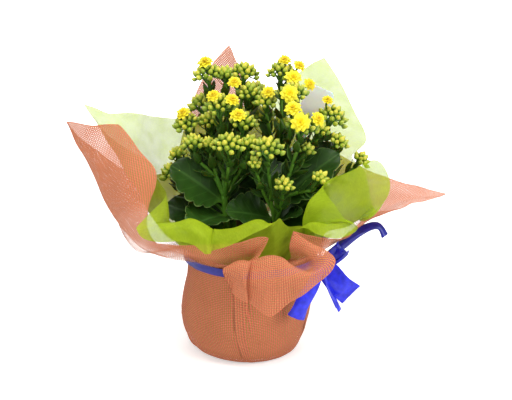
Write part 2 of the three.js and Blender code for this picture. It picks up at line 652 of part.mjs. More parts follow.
// A double flower facing +Z, as one closed surface: rings of points from the calyx up, where a star is a
// layer of pointed petals and a plain ring is the waist between two layers.
function bloomSolid(radius) {
  const petals = 8;
  const rings = [
    { star: true, reach: radius, z: 0.4, turn: 0 },
    { star: false, reach: 0.42 * radius, z: 1.3, turn: 0 },
    { star: true, reach: 0.74 * radius, z: 3, turn: Math.PI / petals },
  ];
  const vertices = [new THREE.Vector3(0, 0, -1.6)];
  const starts = [];
  for (const { star, reach, z, turn } of rings) {
    starts.push(vertices.length);
    const corners = star ? 2 * petals : petals;
    for (let i = 0; i < corners; i++) {
      const notch = star && i % 2 === 1;
      const angle = turn + (2 * Math.PI * i) / corners;
      const distance = notch ? reach * 0.7 : reach;
      const height = notch ? z + 0.5 : z;
      vertices.push(new THREE.Vector3(distance * Math.cos(angle), distance * Math.sin(angle), height));
    }
  }
  vertices.push(new THREE.Vector3(0, 0, 5.2));
  const [lower, waist, upper] = starts;
  const top = vertices.length - 1;
  const triangles = [];
  for (let i = 0; i < petals; i++) {
    const [a, b, c] = [lower + 2 * i, lower + 2 * i + 1, lower + ((2 * i + 2) % (2 * petals))];
    const [d, e] = [waist + i, waist + ((i + 1) % petals)];
    // the upper star is turned by half a petal, so its notch lies over the lower star's petal
    const before = upper + ((2 * i + 2 * petals - 1) % (2 * petals));
    const [f, g] = [upper + 2 * i, upper + 2 * i + 1];
    triangles.push([0, b, a], [0, c, b], [a, b, d], [b, e, d], [b, c, e]);
    triangles.push([d, f, before], [d, e, f], [e, g, f], [top, before, f], [top, f, g]);
  }
  return toSolid(polyhedron(vertices, triangles));
}

function pose(solid, position, facing) {
  const upright = new THREE.Vector3(0, 0, 1);
  const turn = new THREE.Quaternion().setFromUnitVectors(upright, vec(facing).normalize());
  const matrix = new THREE.Matrix4().compose(vec(position), turn, new THREE.Vector3(1, 1, 1));
  return toSolid(toGeometry(solid).applyMatrix4(matrix));
}

const blooms = BLOOMS.map(([position, facing, radius]) => {
  return keep(pose(bloomSolid(radius), position, facing));
});

// Bud clusters.
// Direction in which a flower head leans, away from its plant's foot.
const headAxis = ([middle, , , plant]) => vec(middle).sub(stemAt(PLANTS[plant], 100)).normalize();

const headFoot = (head) => vec(head[0]).addScaledVector(headAxis(head), -0.95 * head[1]);

// A place in a cluster: distance from its axis, angle round it and height over the cluster's middle.
function inCluster(head, reach, angle, up) {
  const axis = headAxis(head);
  const across = new THREE.Vector3(0, 1, 0).cross(axis).normalize();
  return vec(head[0])
    .addScaledVector(across, reach * Math.cos(angle))
    .addScaledVector(axis.clone().cross(across), reach * Math.sin(angle))
    .addScaledVector(axis, up);
}

const bloomSeat = ([position, facing]) => vec(position).addScaledVector(vec(facing).normalize(), -1.6 - GAP);

const nearestHead = (point) =>
  HEADS.reduce((a, b) => (vec(a[0]).distanceTo(point) < vec(b[0]).distanceTo(point) ? a : b));

// The cone of a cluster's short branches, with the stalks of its open flowers.
const clusterCores = HEADS.map((head) => {
  const radius = head[1];
  const sides = 5;
  const vertices = [inCluster(head, 0, 0, 0.3 * radius)];
  const triangles = [[2, 6, 4], [2, 8, 6], [2, 10, 8]];
  for (let i = 0; i < sides; i++) {
    const angle = (2 * Math.PI * i) / sides;
    const [a, b] = [1 + 2 * i, 1 + 2 * ((i + 1) % sides)];
    vertices.push(inCluster(head, 0.6 * radius, angle, -0.05 * radius));
    vertices.push(inCluster(head, 1.4, angle, -0.95 * radius));
    triangles.push([0, a, b], [a, a + 1, b + 1], [a, b + 1, b]);
  }
  const parts = [toSolid(polyhedron(vertices, triangles))];
  for (const bloom of BLOOMS) {
    const seat = bloomSeat(bloom);
    if (nearestHead(seat) === head) {
      const facing = vec(bloom[1]).normalize();
      const back = seat.clone().addScaledVector(facing, -4);
      parts.push(stalk([inCluster(head, 0, 0, -0.3 * radius), back], 0.9, 1, 4, 1));
      parts.push(stalk([back.clone().lerp(seat, -0.2), seat], 1, 1.4, 4, 1));
    }
  }
  return keep(fuse(parts));
});

// Leafy stems with their flower stalks.
function stemAt({ foot: [x, y], top }, z) {
  if (z <= STEM_BEND_Z) {
    return new THREE.Vector3(x, y, z);
  }
  return new THREE.Vector3(x, y, STEM_BEND_Z).lerp(vec(top), (z - STEM_BEND_Z) / (top[2] - STEM_BEND_Z));
}

function leafSolid(plant, [z, azimuth, pitch, length, width, teeth, roll], start, thickness) {
  const foot = stemAt(plant, z);
  const blade = leafBlade([length, width, teeth], start, thickness)
    .rotateX(radians(roll))
    .rotateY(-radians(pitch))
    .rotateZ(radians(azimuth));
  return toSolid(blade.translate(foot.x, foot.y, foot.z));
}

// A flower stalk from the stem to just under its head, the straightest that meets no leaf or other plant.
function flowerStalk(head) {
  const plant = PLANTS[head[3]];
  const axis = headAxis(head);
  const end = headFoot(head).addScaledVector(axis, -2 * GAP);
  const below = end.clone().addScaledVector(axis, -8);
  const sideways = new THREE.Vector3(-axis.y, axis.x, 0).normalize();
  for (const bend of [0, 6, -6, 12, -12, 18, -18, 24, -24, 30, -30]) {
    for (const lean of [0.12, 0.3, -0.1]) {
      for (const rise of [0, -8, 8, -16, 16, -24, 24, 32, 40]) {
        const start = stemAt(plant, THREE.MathUtils.clamp(head[4] + rise, 114, plant.top[2]));
        const outward = end.clone().sub(start).setZ(0);
        const middle = start.clone().lerp(end, 0.5);
        middle.addScaledVector(outward, lean).addScaledVector(sideways, bend);
        const beyondStem = start.clone().lerp(middle, 0.25);
        const tested = stalk([beyondStem, middle, below, end], STALK_RADIUS * 1.25, STALK_RADIUS, 4, 3);
        if (isClear(tested, bareStems[head[3]])) {
          return stalk([start, middle, below, end], STALK_RADIUS * 1.25, STALK_RADIUS, 4, 3);
        }
      }
    }
  }
  throw new Error("no clear way for the stalk to the head at " + head[0]);
}

const bareStems = PLANTS.map((plant) => {
  const points = [STEM_FOOT_Z, 98, 112, plant.top[2]].map((z) => stemAt(plant, z));
  return keep(stalk(points, STEM_RADIUS, 3, 6, 3));
});

// Each leaf beyond its stem, so that the stalks found next stay clear of them all.
for (const plant of PLANTS) {
  plant.leaves.forEach((leaf) => keep(leafSolid(plant, leaf, LEAF_START, LEAF_THICKNESS)));
}

const leafyStems = PLANTS.map((plant, index) => {
  const stalks = HEADS.filter((head) => head[3] === index).map(flowerStalk);
  const leaves = plant.leaves.map((leaf) => leafSolid(plant, leaf, 0, LEAF_THICKNESS));
  return keep(fuse([bareStems[index], ...stalks, ...leaves]));
});

// Buds of the clusters.
const GOLDEN_ANGLE = Math.PI * (3 - Math.sqrt(5));

// A bud of four sides with its pedicel: a point at the foot, the widest place and the tip.
function budSolid(foot, belly, direction) {
  const across = new THREE.Vector3(0.3, 1, 0).cross(direction).normalize();
  const beside = direction.clone().cross(across);
  const vertices = [foot, belly.clone().addScaledVector(direction, BUD_TIP)];
  for (let i = 0; i < 4; i++) {
    const angle = (Math.PI * i) / 2;
    vertices.push(
      belly
        .clone()
        .addScaledVector(across, (BUD_WIDTH / 2) * Math.cos(angle))
        .addScaledVector(beside, (BUD_WIDTH / 2) * Math.sin(angle)),
    );
  }
  const triangles = [];
  for (let i = 0; i < 4; i++) {
    const next = 2 + ((i + 1) % 4);
    triangles.push([0, next, 2 + i], [1, 2 + i, next]);
  }
  return toSolid(polyhedron(vertices, triangles));
}

// A cluster: its core, with the buds standing out of it on a low dome.
const clusters = HEADS.map((head, index) => {
  const [, radius, count] = head;
  const parts = [clusterCores[index]];
  for (let k = 0; k < count; k++) {
    const reach = 0.9 * radius * Math.sqrt((k + 0.3) / count);
    const angle = k * GOLDEN_ANGLE;
    const belly = inCluster(head, reach, angle, radius * (0.45 - 0.6 * (reach / radius) ** 2));
    const foot = inCluster(head, 0.5 * reach, angle, -0.05 * radius);
    const below = inCluster(head, 0, 0, -0.9 * radius);
    const bud = budSolid(foot, belly, belly.clone().sub(below).normalize());
    if (isClear(bud, clusterCores[index])) {
      parts.push(bud);
    }
  }
  return keep(fuse(parts));
});

// The nodes.
const root = new THREE.Group();

function addNode(name, solid, color, roughness) {
  const mesh = new THREE.Mesh(
    toGeometry(solid),
    new THREE.MeshStandardMaterial({ color, roughness, metalness: 0, side: THREE.DoubleSide }),
  );
  mesh.name = name;
  root.add(mesh);
}

addNode("wrap_outer", wrapOuter, 0xc0794f, 0.9);
addNode("wrap_inner", wrapInner, 0xa8c92b, 0.8);
addNode("pot", pot, 0x5a3a2a, 0.5);
addNode("soil", soil, 0x3a2a20, 1);
addNode("ribbon", ribbon, 0x2b2fc4, 0.3);
addNode("plant_label", label, 0xdde3da, 0.5);
leafyStems.forEach((solid, k) => addNode("leafy_stem_" + (k + 1), solid, 0x2f4a25, 0.5));
clusters.forEach((solid, k) => addNode("bud_cluster_" + (k + 1), solid, 0xa9c04a, 0.5));
blooms.forEach((solid, k) => addNode("bloom_" + (k + 1), solid, 0xffe500, 0.6));

export default root;
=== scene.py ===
"""A potted flaming katy wrapped as a gift: a succulent with scalloped dark green leaves, clusters of buds
and yellow double flowers, in a nursery pot inside two cloth sheets tied with a blue satin ribbon.

Metres, +Z up. The wrapped pot stands on Z = 0 with its axis on Z, and the front is towards -Y.
"""
import math

import bpy
import mathutils
import numpy as np
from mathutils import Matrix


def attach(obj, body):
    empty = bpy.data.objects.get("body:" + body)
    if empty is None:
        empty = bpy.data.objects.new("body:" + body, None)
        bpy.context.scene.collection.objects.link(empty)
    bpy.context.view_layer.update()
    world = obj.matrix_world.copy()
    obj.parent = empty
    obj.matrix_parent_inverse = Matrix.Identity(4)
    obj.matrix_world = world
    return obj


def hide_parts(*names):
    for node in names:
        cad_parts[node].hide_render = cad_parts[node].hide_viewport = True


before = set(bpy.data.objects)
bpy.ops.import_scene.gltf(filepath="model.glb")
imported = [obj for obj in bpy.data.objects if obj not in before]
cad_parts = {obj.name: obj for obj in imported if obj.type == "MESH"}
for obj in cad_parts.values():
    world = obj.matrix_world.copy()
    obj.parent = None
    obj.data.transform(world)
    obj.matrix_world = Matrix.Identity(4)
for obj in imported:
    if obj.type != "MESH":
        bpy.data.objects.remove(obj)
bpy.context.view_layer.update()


# Outer wrapping: a square of loosely woven terracotta cloth, gathered up round the pot and tied at the
# neck, so that its corners stand and turn down above the ribbon. Each station is an azimuth in degrees
# and four points in millimetres from the neck to the rim.
OUTER_STATIONS = [
    (180, (-114, -5, 105), (-139, -8, 144), (-162, -10, 198), (-182, -12, 243)),  # left corner
    (193, (-107, -22, 111), (-134, -28, 145), (-150, -30, 192), (-154, -24, 243)),
    # turned-in front half of the left corner
    (205, (-97, -36, 114), (-125, -44, 139), (-136, -44, 180), (-127, -34, 247)),
    (215, (-86, -48, 117), (-113, -56, 133), (-125, -58, 173), (-108, -46, 225)),
    (224, (-74, -58, 119), (-99, -66, 132), (-112, -66, 164), (-91, -57, 205)),
    (231, (-63, -65, 119), (-85, -74, 132), (-98, -73, 147), (-101, -67, 165)),
    (236, (-56, -70, 120), (-75, -80, 134), (-88, -83, 141), (-95, -82, 147)),
    (241, (-50, -74, 120), (-65, -85, 134), (-76, -89, 141), (-81, -90, 146)),
    (248, (-36, -78, 119), (-42, -87, 131), (-48, -92, 141), (-51, -93, 147)),
    (255, (-22, -80, 118), (-22, -89, 132), (-20, -94, 142), (-19, -96, 149)),
    (260, (-12, -81, 119), (-8, -90, 135), (-4, -94, 147), (-1, -96, 154)),
    (264, (-6, -81, 119), (1, -90, 135), (9, -95, 147), (14, -97, 156)),  # end of the standing fold
    (267, (-4, -84, 120), (-6, -94, 131), (-3, -101, 133), (-3, -103, 126)),  # fold back over it
    (259, (-9, -86, 121), (-21, -98, 129), (-29, -103, 126), (-22, -100, 104)),
    (265, (-3, -88, 122), (-12, -102, 135), (-16, -108, 123), (-12, -104, 98)),
    (270, (3, -88, 122), (-1, -104, 136), (-6, -111, 121), (-5, -106, 95)),
    (275, (9, -88, 123), (10, -105, 139), (7, -113, 115), (6, -108, 86)),
    # lowest tip of the turned-down front corner
    (280, (16, -88, 124), (20, -105, 140), (18, -114, 114), (17, -110, 81)),
    (285, (24, -87, 125), (29, -106, 138), (31, -116, 121), (35, -112, 96)),
    (290, (33, -86, 125), (40, -108, 131), (47, -115, 125), (50, -112, 107)),
    (294, (41, -84, 125), (53, -104, 127), (62, -109, 128), (65, -108, 117)),
    (298, (45, -83, 127), (57, -97, 129), (69, -100, 133), (77, -98, 132)),  # rolled lobe, its end
    (299, (45, -80, 128), (52, -88, 135), (61, -90, 139), (71, -88, 136)),
    (296, (41, -78, 129), (45, -82, 138), (49, -83, 143), (54, -82, 145)),
    (293, (36, -76, 127), (34, -78, 138), (35, -77, 148), (37, -76, 155)),  # top of the panel behind the lobe
    (300, (43, -70, 123), (48, -71, 132), (52, -70, 140), (54, -69, 147)),
    (312, (57, -60, 122), (69, -62, 130), (78, -60, 136), (85, -57, 139)),
    (328, (69, -44, 122), (86, -41, 131), (98, -36, 138), (107, -30, 144)),
    (345, (78, -22, 121), (97, -15, 130), (114, -6, 138), (128, 2, 145)),
    (362, (82, 4, 119), (111, 20, 127), (152, 42, 136), (179, 56, 135)),
    (374, (81, 20, 120), (115, 40, 128), (163, 64, 134), (206, 78, 138)),  # right corner
    (388, (78, 36, 122), (108, 56, 132), (151, 74, 145), (180, 86, 141)),
    (404, (68, 52, 123), (87, 70, 144), (116, 84, 152), (148, 92, 147)),
    (420, (52, 66, 125), (60, 80, 151), (71, 92, 172), (84, 100, 178)),
    (438, (29, 76, 126), (24, 90, 165), (18, 100, 201), (9, 108, 223)),
    (452, (9, 78, 126), (-8, 94, 175), (-16, 106, 226), (-18, 110, 274)),
    (461, (-3, 78, 126), (-18, 94, 180), (-24, 106, 237), (-25, 112, 290)),  # back corner
    (470, (-18, 76, 125), (-37, 90, 173), (-45, 100, 228), (-49, 106, 262)),
    (484, (-39, 68, 124), (-56, 80, 163), (-64, 88, 199), (-67, 96, 225)),
    (500, (-60, 54, 122), (-78, 64, 140), (-86, 69, 155), (-89, 72, 165)),
    (516, (-84, 36, 116), (-111, 40, 138), (-122, 42, 165), (-128, 42, 175)),
    (528, (-101, 14, 112), (-129, 14, 142), (-148, 14, 180), (-157, 14, 206)),  # back half of the left corner
]
SIDE = [(0, 41), (2.5, 50), (9, 57), (36, 65.6), (104, 68)]  # height and radius round the pot, mm
SHIFT_SHARE = [(0, 0.4), (9, 1), (60, 1), (104, 0)]  # height, mm, and share of the sideways shift
WRAP_SHIFT = 8  # mm by which the wrapping is looser on its left
NECK_Z = 110  # mm, height of the tied neck at the sides
NECK_TILT = 3  # mm by which the neck is higher at the front
NECK_REACH = 150  # mm of cloth from the sheet's middle to the neck
ROW_STEPS = 8  # rows of mesh between two heights of the tables
AROUND_STEPS = 8  # columns of mesh between two stations
NECK_ROW = (len(SIDE) - 1) * ROW_STEPS
FAN_ROW = NECK_ROW + 20  # row of the flare on which the cloth's layout has its real width
DISC_RINGS = [0.75, 0.5, 0.25]  # reach of the rings in the bottom disc, as a share of its edge's
FRONT = 280  # degrees
BACK_SEAM = 450  # degrees, where the cloth's coordinates start
OUTER_CORNERS = [180, 205, 264, 280, 293, 374, 461]  # stations where the rim turns sharply
OUTER_FOLD = (14.9, 5.5)  # the sharp fold in the turned-down corner: its station and height, mm
FOLD_REACH = 12  # columns
OUTER_PLEATS = [(186, 12), (249, 15), (330, 12), (358, 12), (386, 12), (414, 13), (444, 12), (474, 12),
                (504, 12)]  # degrees and width, mm
PLEAT_LEG = 7  # columns in each of a pleat's three legs
PLEAT_LAYERS = [(0, 0), (2, -2), (6, -2), (8, -1), (11, -1), (12, 0.3), (14, 0.8), (18, 0)]  # column, layer
LAYER_GAP = 0.45  # mm between two layers of a pleat
PLEAT_FOOT = 0.15  # share of its width that a pleat keeps at the foot
PLEAT_LEAN = 15  # degrees
GATHERS = (14, 16, 7)  # number of waves, and the longest and shortest in mm
SOFT_FOLDS = (18, 90, 24)  # the same
SLACK = (16, 60, 18)  # the same
CREASE_HEIGHT = 0.7  # mm, of the gathers and of the soft folds
SLACK_HEIGHT = 0.35  # mm
TIE_REACH = 22  # mm over which the gathers die away
CREASE_SEED = 11
PULLED_ROWS = 0.55  # share of the flare's rows on which the tie pulls the threads apart
WEAVE = 1.8  # mm from thread to thread
THREAD_LIFT = 0.3  # how far a crossing lifts a thread, against its own height
HOLE = {"From Min": 0.34, "From Max": 0.6}  # thread heights at which a hole is open and shut
PARTED = 0.6  # share of the cover that the tie takes where it pulls most
PATCHES = 0.05  # per mm: the cloth is uneven in patches of 20 mm
FLECKS = 0.6  # per mm: about one fleck to a thread
HEM = 0.9  # mm
ALONG_THREAD = "#DA7452"
ACROSS_THREAD = "#D08858"
MM = 0.001


def linear(colour):
    """An sRGB colour written #RRGGBB as linear red, green, blue and alpha 1: a channel c is c / 12.92 up
    to 0.04045 and ((c + 0.055) / 1.055) to the power 2.4 above it."""
    channels = [int(colour[i:i + 2], 16) / 255 for i in (1, 3, 5)]
    return [c / 12.92 if c <= 0.04045 else ((c + 0.055) / 1.055) ** 2.4 for c in channels] + [1]


def unit(directions):
    """Directions at length 1. The last axis holds X, Y and Z."""
    directions = np.asarray(directions, float)
    return directions / np.linalg.norm(directions, axis=-1, keepdims=True)


def table_value(table, at):
    """Straight-line interpolation in a table of pairs."""
    return np.interp(at, [row[0] for row in table], [row[1] for row in table])


def smooth_curve(points, steps, closed=False):
    """Samples of the centripetal Catmull-Rom curve through points, an array whose first axis runs along
    the curve. A knot's interval is the square root of the chord, and each span is a cubic Hermite curve
    whose end speeds come from the three chords around it. There are steps samples to a span."""
    points = np.asarray(points, float)
    if closed:
        around = np.concatenate([points[-1:], points, points[:2]])
    else:
        around = np.concatenate([2 * points[:1] - points[1:2], points, 2 * points[-1:] - points[-2:-1]])
    p0, p1, p2, p3 = around[:-3], around[1:-2], around[2:-1], around[3:]

    def interval(a, b):
        return np.maximum(np.linalg.norm(b - a, axis=-1, keepdims=True) ** 0.5, 1e-4)

    d0, d1, d2 = interval(p0, p1), interval(p1, p2), interval(p2, p3)
    start = ((p1 - p0) / d0 - (p2 - p0) / (d0 + d1) + (p2 - p1) / d1) * d1
    end = ((p2 - p1) / d1 - (p3 - p1) / (d1 + d2) + (p3 - p2) / d2) * d1
    spans = [(2 * t**3 - 3 * t**2 + 1) * p1 + (t**3 - 2 * t**2 + t) * start
             + (3 * t**2 - 2 * t**3) * p2 + (t**3 - t**2) * end for t in np.arange(steps) / steps]
    samples = np.stack(spans, axis=1).reshape((-1,) + points.shape[1:])
    return samples if closed else np.concatenate([samples, points[-1:]])


def waves(u, v, count, longest, shortest, seed):
    """A smooth random field of mean 0 and spread about 1: the sum of count plane waves over u and v, with
    random directions, phases and wavelengths between longest and shortest."""
    draw = np.random.default_rng(seed)
    field = np.zeros(np.broadcast(u, v).shape)
    for _ in range(count):
        angle, phase = draw.uniform(0, 2 * math.pi, 2)
        length = math.exp(draw.uniform(math.log(shortest), math.log(longest)))
        field += np.sin(2 * math.pi * (u * math.cos(angle) + v * math.sin(angle)) / length + phase)
    return field * math.sqrt(2 / count)


def mesh_object(name, vertices, faces, material, smooth=True, uv=None, attributes=None):
    """A mesh object from points in millimetres and faces. uv holds a pair for each face corner, and
    attributes a value for each vertex under each name."""
    mesh = bpy.data.meshes.new(name)
    mesh.from_pydata((np.asarray(vertices) * MM).tolist(), [], faces)
    if uv is not None:
        mesh.uv_layers.new(name="cloth").data.foreach_set("uv", np.asarray(uv, np.float32).ravel())
    for key, values in (attributes or {}).items():
        layer = mesh.attributes.new(key, "FLOAT", "POINT")
        layer.data.foreach_set("value", np.asarray(values, np.float32).ravel())
    mesh.polygons.foreach_set("use_smooth", [smooth] * len(mesh.polygons))
    mesh.materials.append(material)
    piece = bpy.data.objects.new(name, mesh)
    bpy.context.scene.collection.objects.link(piece)
    return piece


def grid_faces(columns, rows, closed, start=0):
    """The quads of a grid whose vertices run up each column, as a list of vertex numbers."""
    i, k = np.meshgrid(np.arange(columns if closed else columns - 1), np.arange(rows - 1), indexing="ij")
    after = (i + 1) % columns
    quads = np.stack([i * rows + k, after * rows + k, after * rows + k + 1, i * rows + k + 1], axis=-1)
    return (quads.reshape(-1, 4) + start).tolist()


def new_material(name):
    """An empty node material and its tree."""
    material = bpy.data.materials.new(name)
    material.use_nodes = True
    material.node_tree.nodes.clear()
    return material, material.node_tree


def add(tree, kind, inputs=(), output=0, stops=(), **settings):
    """Adds a shader node with its settings and links, and gives its output by number or name. inputs is
    a list in the node's own order, or values under their sockets' names or numbers, and a value is a
    constant, a colour written #RRGGBB or another node's output. stops are positions and colours of a
    colour ramp."""
    node = tree.nodes.new("ShaderNode" + kind)
    for key, value in settings.items():
        setattr(node, key, value)
    for _ in stops[2:]:
        node.color_ramp.elements.new(0.5)
    for k, (position, colour) in enumerate(stops):
        node.color_ramp.elements[k].position = position
        node.color_ramp.elements[k].color = linear(colour)
    for key, value in inputs.items() if isinstance(inputs, dict) else enumerate(inputs):
        if isinstance(value, bpy.types.NodeSocket):
            tree.links.new(value, node.inputs[key])
        else:
            node.inputs[key].default_value = linear(value) if isinstance(value, str) else value
    return node.outputs[output] if node.outputs else None


def sheet_grid(stations, corners, inset, lift):
    """The surface of a sheet as a grid (columns, rows, 3) in millimetres, from the edge of its bottom disc
    to its rim, and each column's azimuth round the pot. Each station's column is a smooth curve through
    five places on the side of the pot and four on the flare, and smooth closed curves join the columns.
    Beside the stations listed as corners straight lines join them instead, more and more towards the rim.
    Round the pot the azimuths only ever rise: they are the stations' own after a running maximum and
    three passes of a 1, 2, 1 average."""
    own = np.radians([station[0] for station in stations])
    rising = np.maximum.accumulate(own)
    for _ in range(3):
        before = np.concatenate([rising[-1:] - 2 * math.pi, rising[:-1]])
        after = np.concatenate([rising[1:], rising[:1] + 2 * math.pi])
        rising = (before + 2 * rising + after) / 4
    places = []
    for k, (height, radius) in enumerate(SIDE):
        at_neck = k == len(SIDE) - 1
        azimuth = own if at_neck else rising
        reach = radius - WRAP_SHIFT * table_value(SHIFT_SHARE, height) * np.cos(azimuth)
        reach = reach - (inset / 2 if k == 0 else inset)
        level = NECK_Z - NECK_TILT * np.sin(azimuth) if at_neck else np.full_like(azimuth, height + lift)
        places.append(np.stack([reach * np.cos(azimuth), reach * np.sin(azimuth), level], axis=-1))
    flare = np.array([station[1:] for station in stations], float).transpose(1, 0, 2)
    columns = smooth_curve(np.concatenate([places, flare]), ROW_STEPS).transpose(1, 0, 2)
    grid = smooth_curve(columns, AROUND_STEPS, closed=True)
    part = np.arange(AROUND_STEPS) / AROUND_STEPS
    away = part[:, None, None]
    straight = columns[:, None] * (1 - away) + np.roll(columns, -1, axis=0)[:, None] * away
    is_corner = np.isin([station[0] for station in stations], corners).astype(float)
    near = np.maximum(is_corner[:, None] * (1 - part), np.roll(is_corner, -1)[:, None] * part)
    row = np.arange(grid.shape[1])
    towards_rim = np.interp(row, [NECK_ROW + ROW_STEPS, row[-1]], [0, 1])
    mix = near.reshape(-1)[:, None, None] * towards_rim[None, :, None]
    grid = grid + (straight.reshape(grid.shape) - grid) * mix
    rising = np.append(rising, rising[0] + 2 * math.pi)
    azimuths = np.interp(np.arange(len(grid)) / AROUND_STEPS, np.arange(len(rising)), rising)
    return grid, azimuths


def creased(grid, station, height):
    """The grid with a sharp fold down its flare at a place among the stations: before it the cloth stands
    forward by up to height millimetres, behind it it lies back by 0.8 of that, and both die away
    exponentially over FOLD_REACH columns. The fold grows from nothing at the second place of the flare to
    its full height at the third."""
    beside = np.arange(len(grid)) - station * AROUND_STEPS
    profile = np.where(beside < 0, 1, -0.8) * np.exp(-np.abs(beside) / FOLD_REACH)
    second = NECK_ROW + 2 * ROW_STEPS
    grows = [second - ROW_STEPS // 2, second + ROW_STEPS // 2]
    strength = np.interp(np.arange(grid.shape[1]), grows, [0, height])
    return grid + (profile[:, None] * strength)[..., None] * [0, -1, 0.2]


def pleated(grid, azimuths, pleats):
    """The grid with knife pleats round the pot, and the azimuth of each of its new columns. A pleat is an
    azimuth in degrees and a width in millimetres: there the cloth runs on under the pleat, back over that
    and on again on top, so that the fold's edge lies at the azimuth and plies are LAYER_GAP apart. A
    pleat is full at the neck, narrows to PLEAT_FOOT of its width at the foot and opens out over the first
    rows of the flare. The columns lean by up to PLEAT_LEAN degrees towards the foot."""
    count, rows = grid.shape[:2]
    leg = np.linspace(0, 1, PLEAT_LEG)
    there_and_back = np.concatenate([leg, leg[::-1][1:], leg[1:]])
    step = np.arange(len(there_and_back))
    on_pot, on_flare, layer = [], [], []
    position = 0.0
    for degrees, width in pleats:
        first = np.interp(math.radians(degrees), azimuths, np.arange(count))
        wide = np.interp(math.radians(degrees) + width / SIDE[-1][1], azimuths, np.arange(count)) - first
        plain = np.arange(position, first - 0.5)
        on_pot += [plain, first + wide * there_and_back]
        on_flare += [plain, first + wide * step / step[-1]]
        layer += [np.zeros(len(plain)), table_value(PLEAT_LAYERS, step)]
        position = first + wide + 1
    plain = np.arange(position, count - 0.01)
    on_pot, on_flare = np.concatenate(on_pot + [plain]), np.concatenate(on_flare + [plain])
    layer = np.concatenate(layer + [np.zeros(len(plain))])
    row = np.arange(rows)
    strength = np.interp(row, [0, NECK_ROW, NECK_ROW + 2, NECK_ROW + 9], [PLEAT_FOOT, 1, 1, 0])
    lean = math.radians(PLEAT_LEAN) * np.interp(row, [0, NECK_ROW], [1, 0])
    column = on_flare[:, None] + strength * (on_pot - on_flare)[:, None]
    full_circle = np.append(azimuths, azimuths[0] + 2 * math.pi)
    turned = np.interp(column, np.arange(count + 1), full_circle) + lean
    turned = azimuths[0] + (turned - azimuths[0]) % (2 * math.pi)
    column = np.where(row < NECK_ROW, np.interp(turned, full_circle, np.arange(count + 1)), column)
    low = np.floor(column).astype(int)
    part = (column - low)[..., None]
    resampled = grid[low % count, row] * (1 - part) + grid[(low + 1) % count, row] * part
    outward = unit(resampled * [1, 1, 0])
    resampled = resampled + outward * (strength * layer[:, None] * LAYER_GAP)[..., None]
    return resampled, np.interp(on_flare, np.arange(count), azimuths)


def crumpled(grid, azimuths):
    """The grid moved along its normals, as cloth creases. A normal is the cross product of the step to the
    next column and the step to the next row. At the tie narrow gathers run up the cloth, waves round the
    pot that die away over TIE_REACH to either side. On the flare they give way to broad soft folds, and
    round the pot the cloth is a little slack."""
    row = np.arange(grid.shape[1])
    beyond = np.maximum(row - NECK_ROW, 0) / ROW_STEPS
    height = grid[..., 2]
    around = azimuths[:, None] * SIDE[-1][1]
    near_tie = np.exp(-(np.abs(height - NECK_Z) / TIE_REACH) ** 1.5)
    gathers = waves(around, 0.12 * height, *GATHERS, CREASE_SEED) * near_tie * CREASE_HEIGHT
    gathers = gathers * np.clip(0.35 + np.abs(row - NECK_ROW + 1) / 5, 0, 1)
    soft = waves(grid[..., 0] + 0.4 * grid[..., 1], height - 0.5 * grid[..., 1], *SOFT_FOLDS, CREASE_SEED + 1)
    soft = soft * CREASE_HEIGHT * np.clip(beyond, 0, 1.3)
    slack = waves(around, height, *SLACK, CREASE_SEED + 2) * SLACK_HEIGHT
    slack = slack * np.clip(height / 12, 0, 1) * (beyond == 0)
    across = np.roll(grid, -1, axis=0) - np.roll(grid, 1, axis=0)
    normal = np.cross(across, np.gradient(grid, axis=1))
    normal = normal / np.maximum(np.linalg.norm(normal, axis=-1, keepdims=True), 1e-9)
    return grid + normal * (gathers + soft + slack)[..., None]


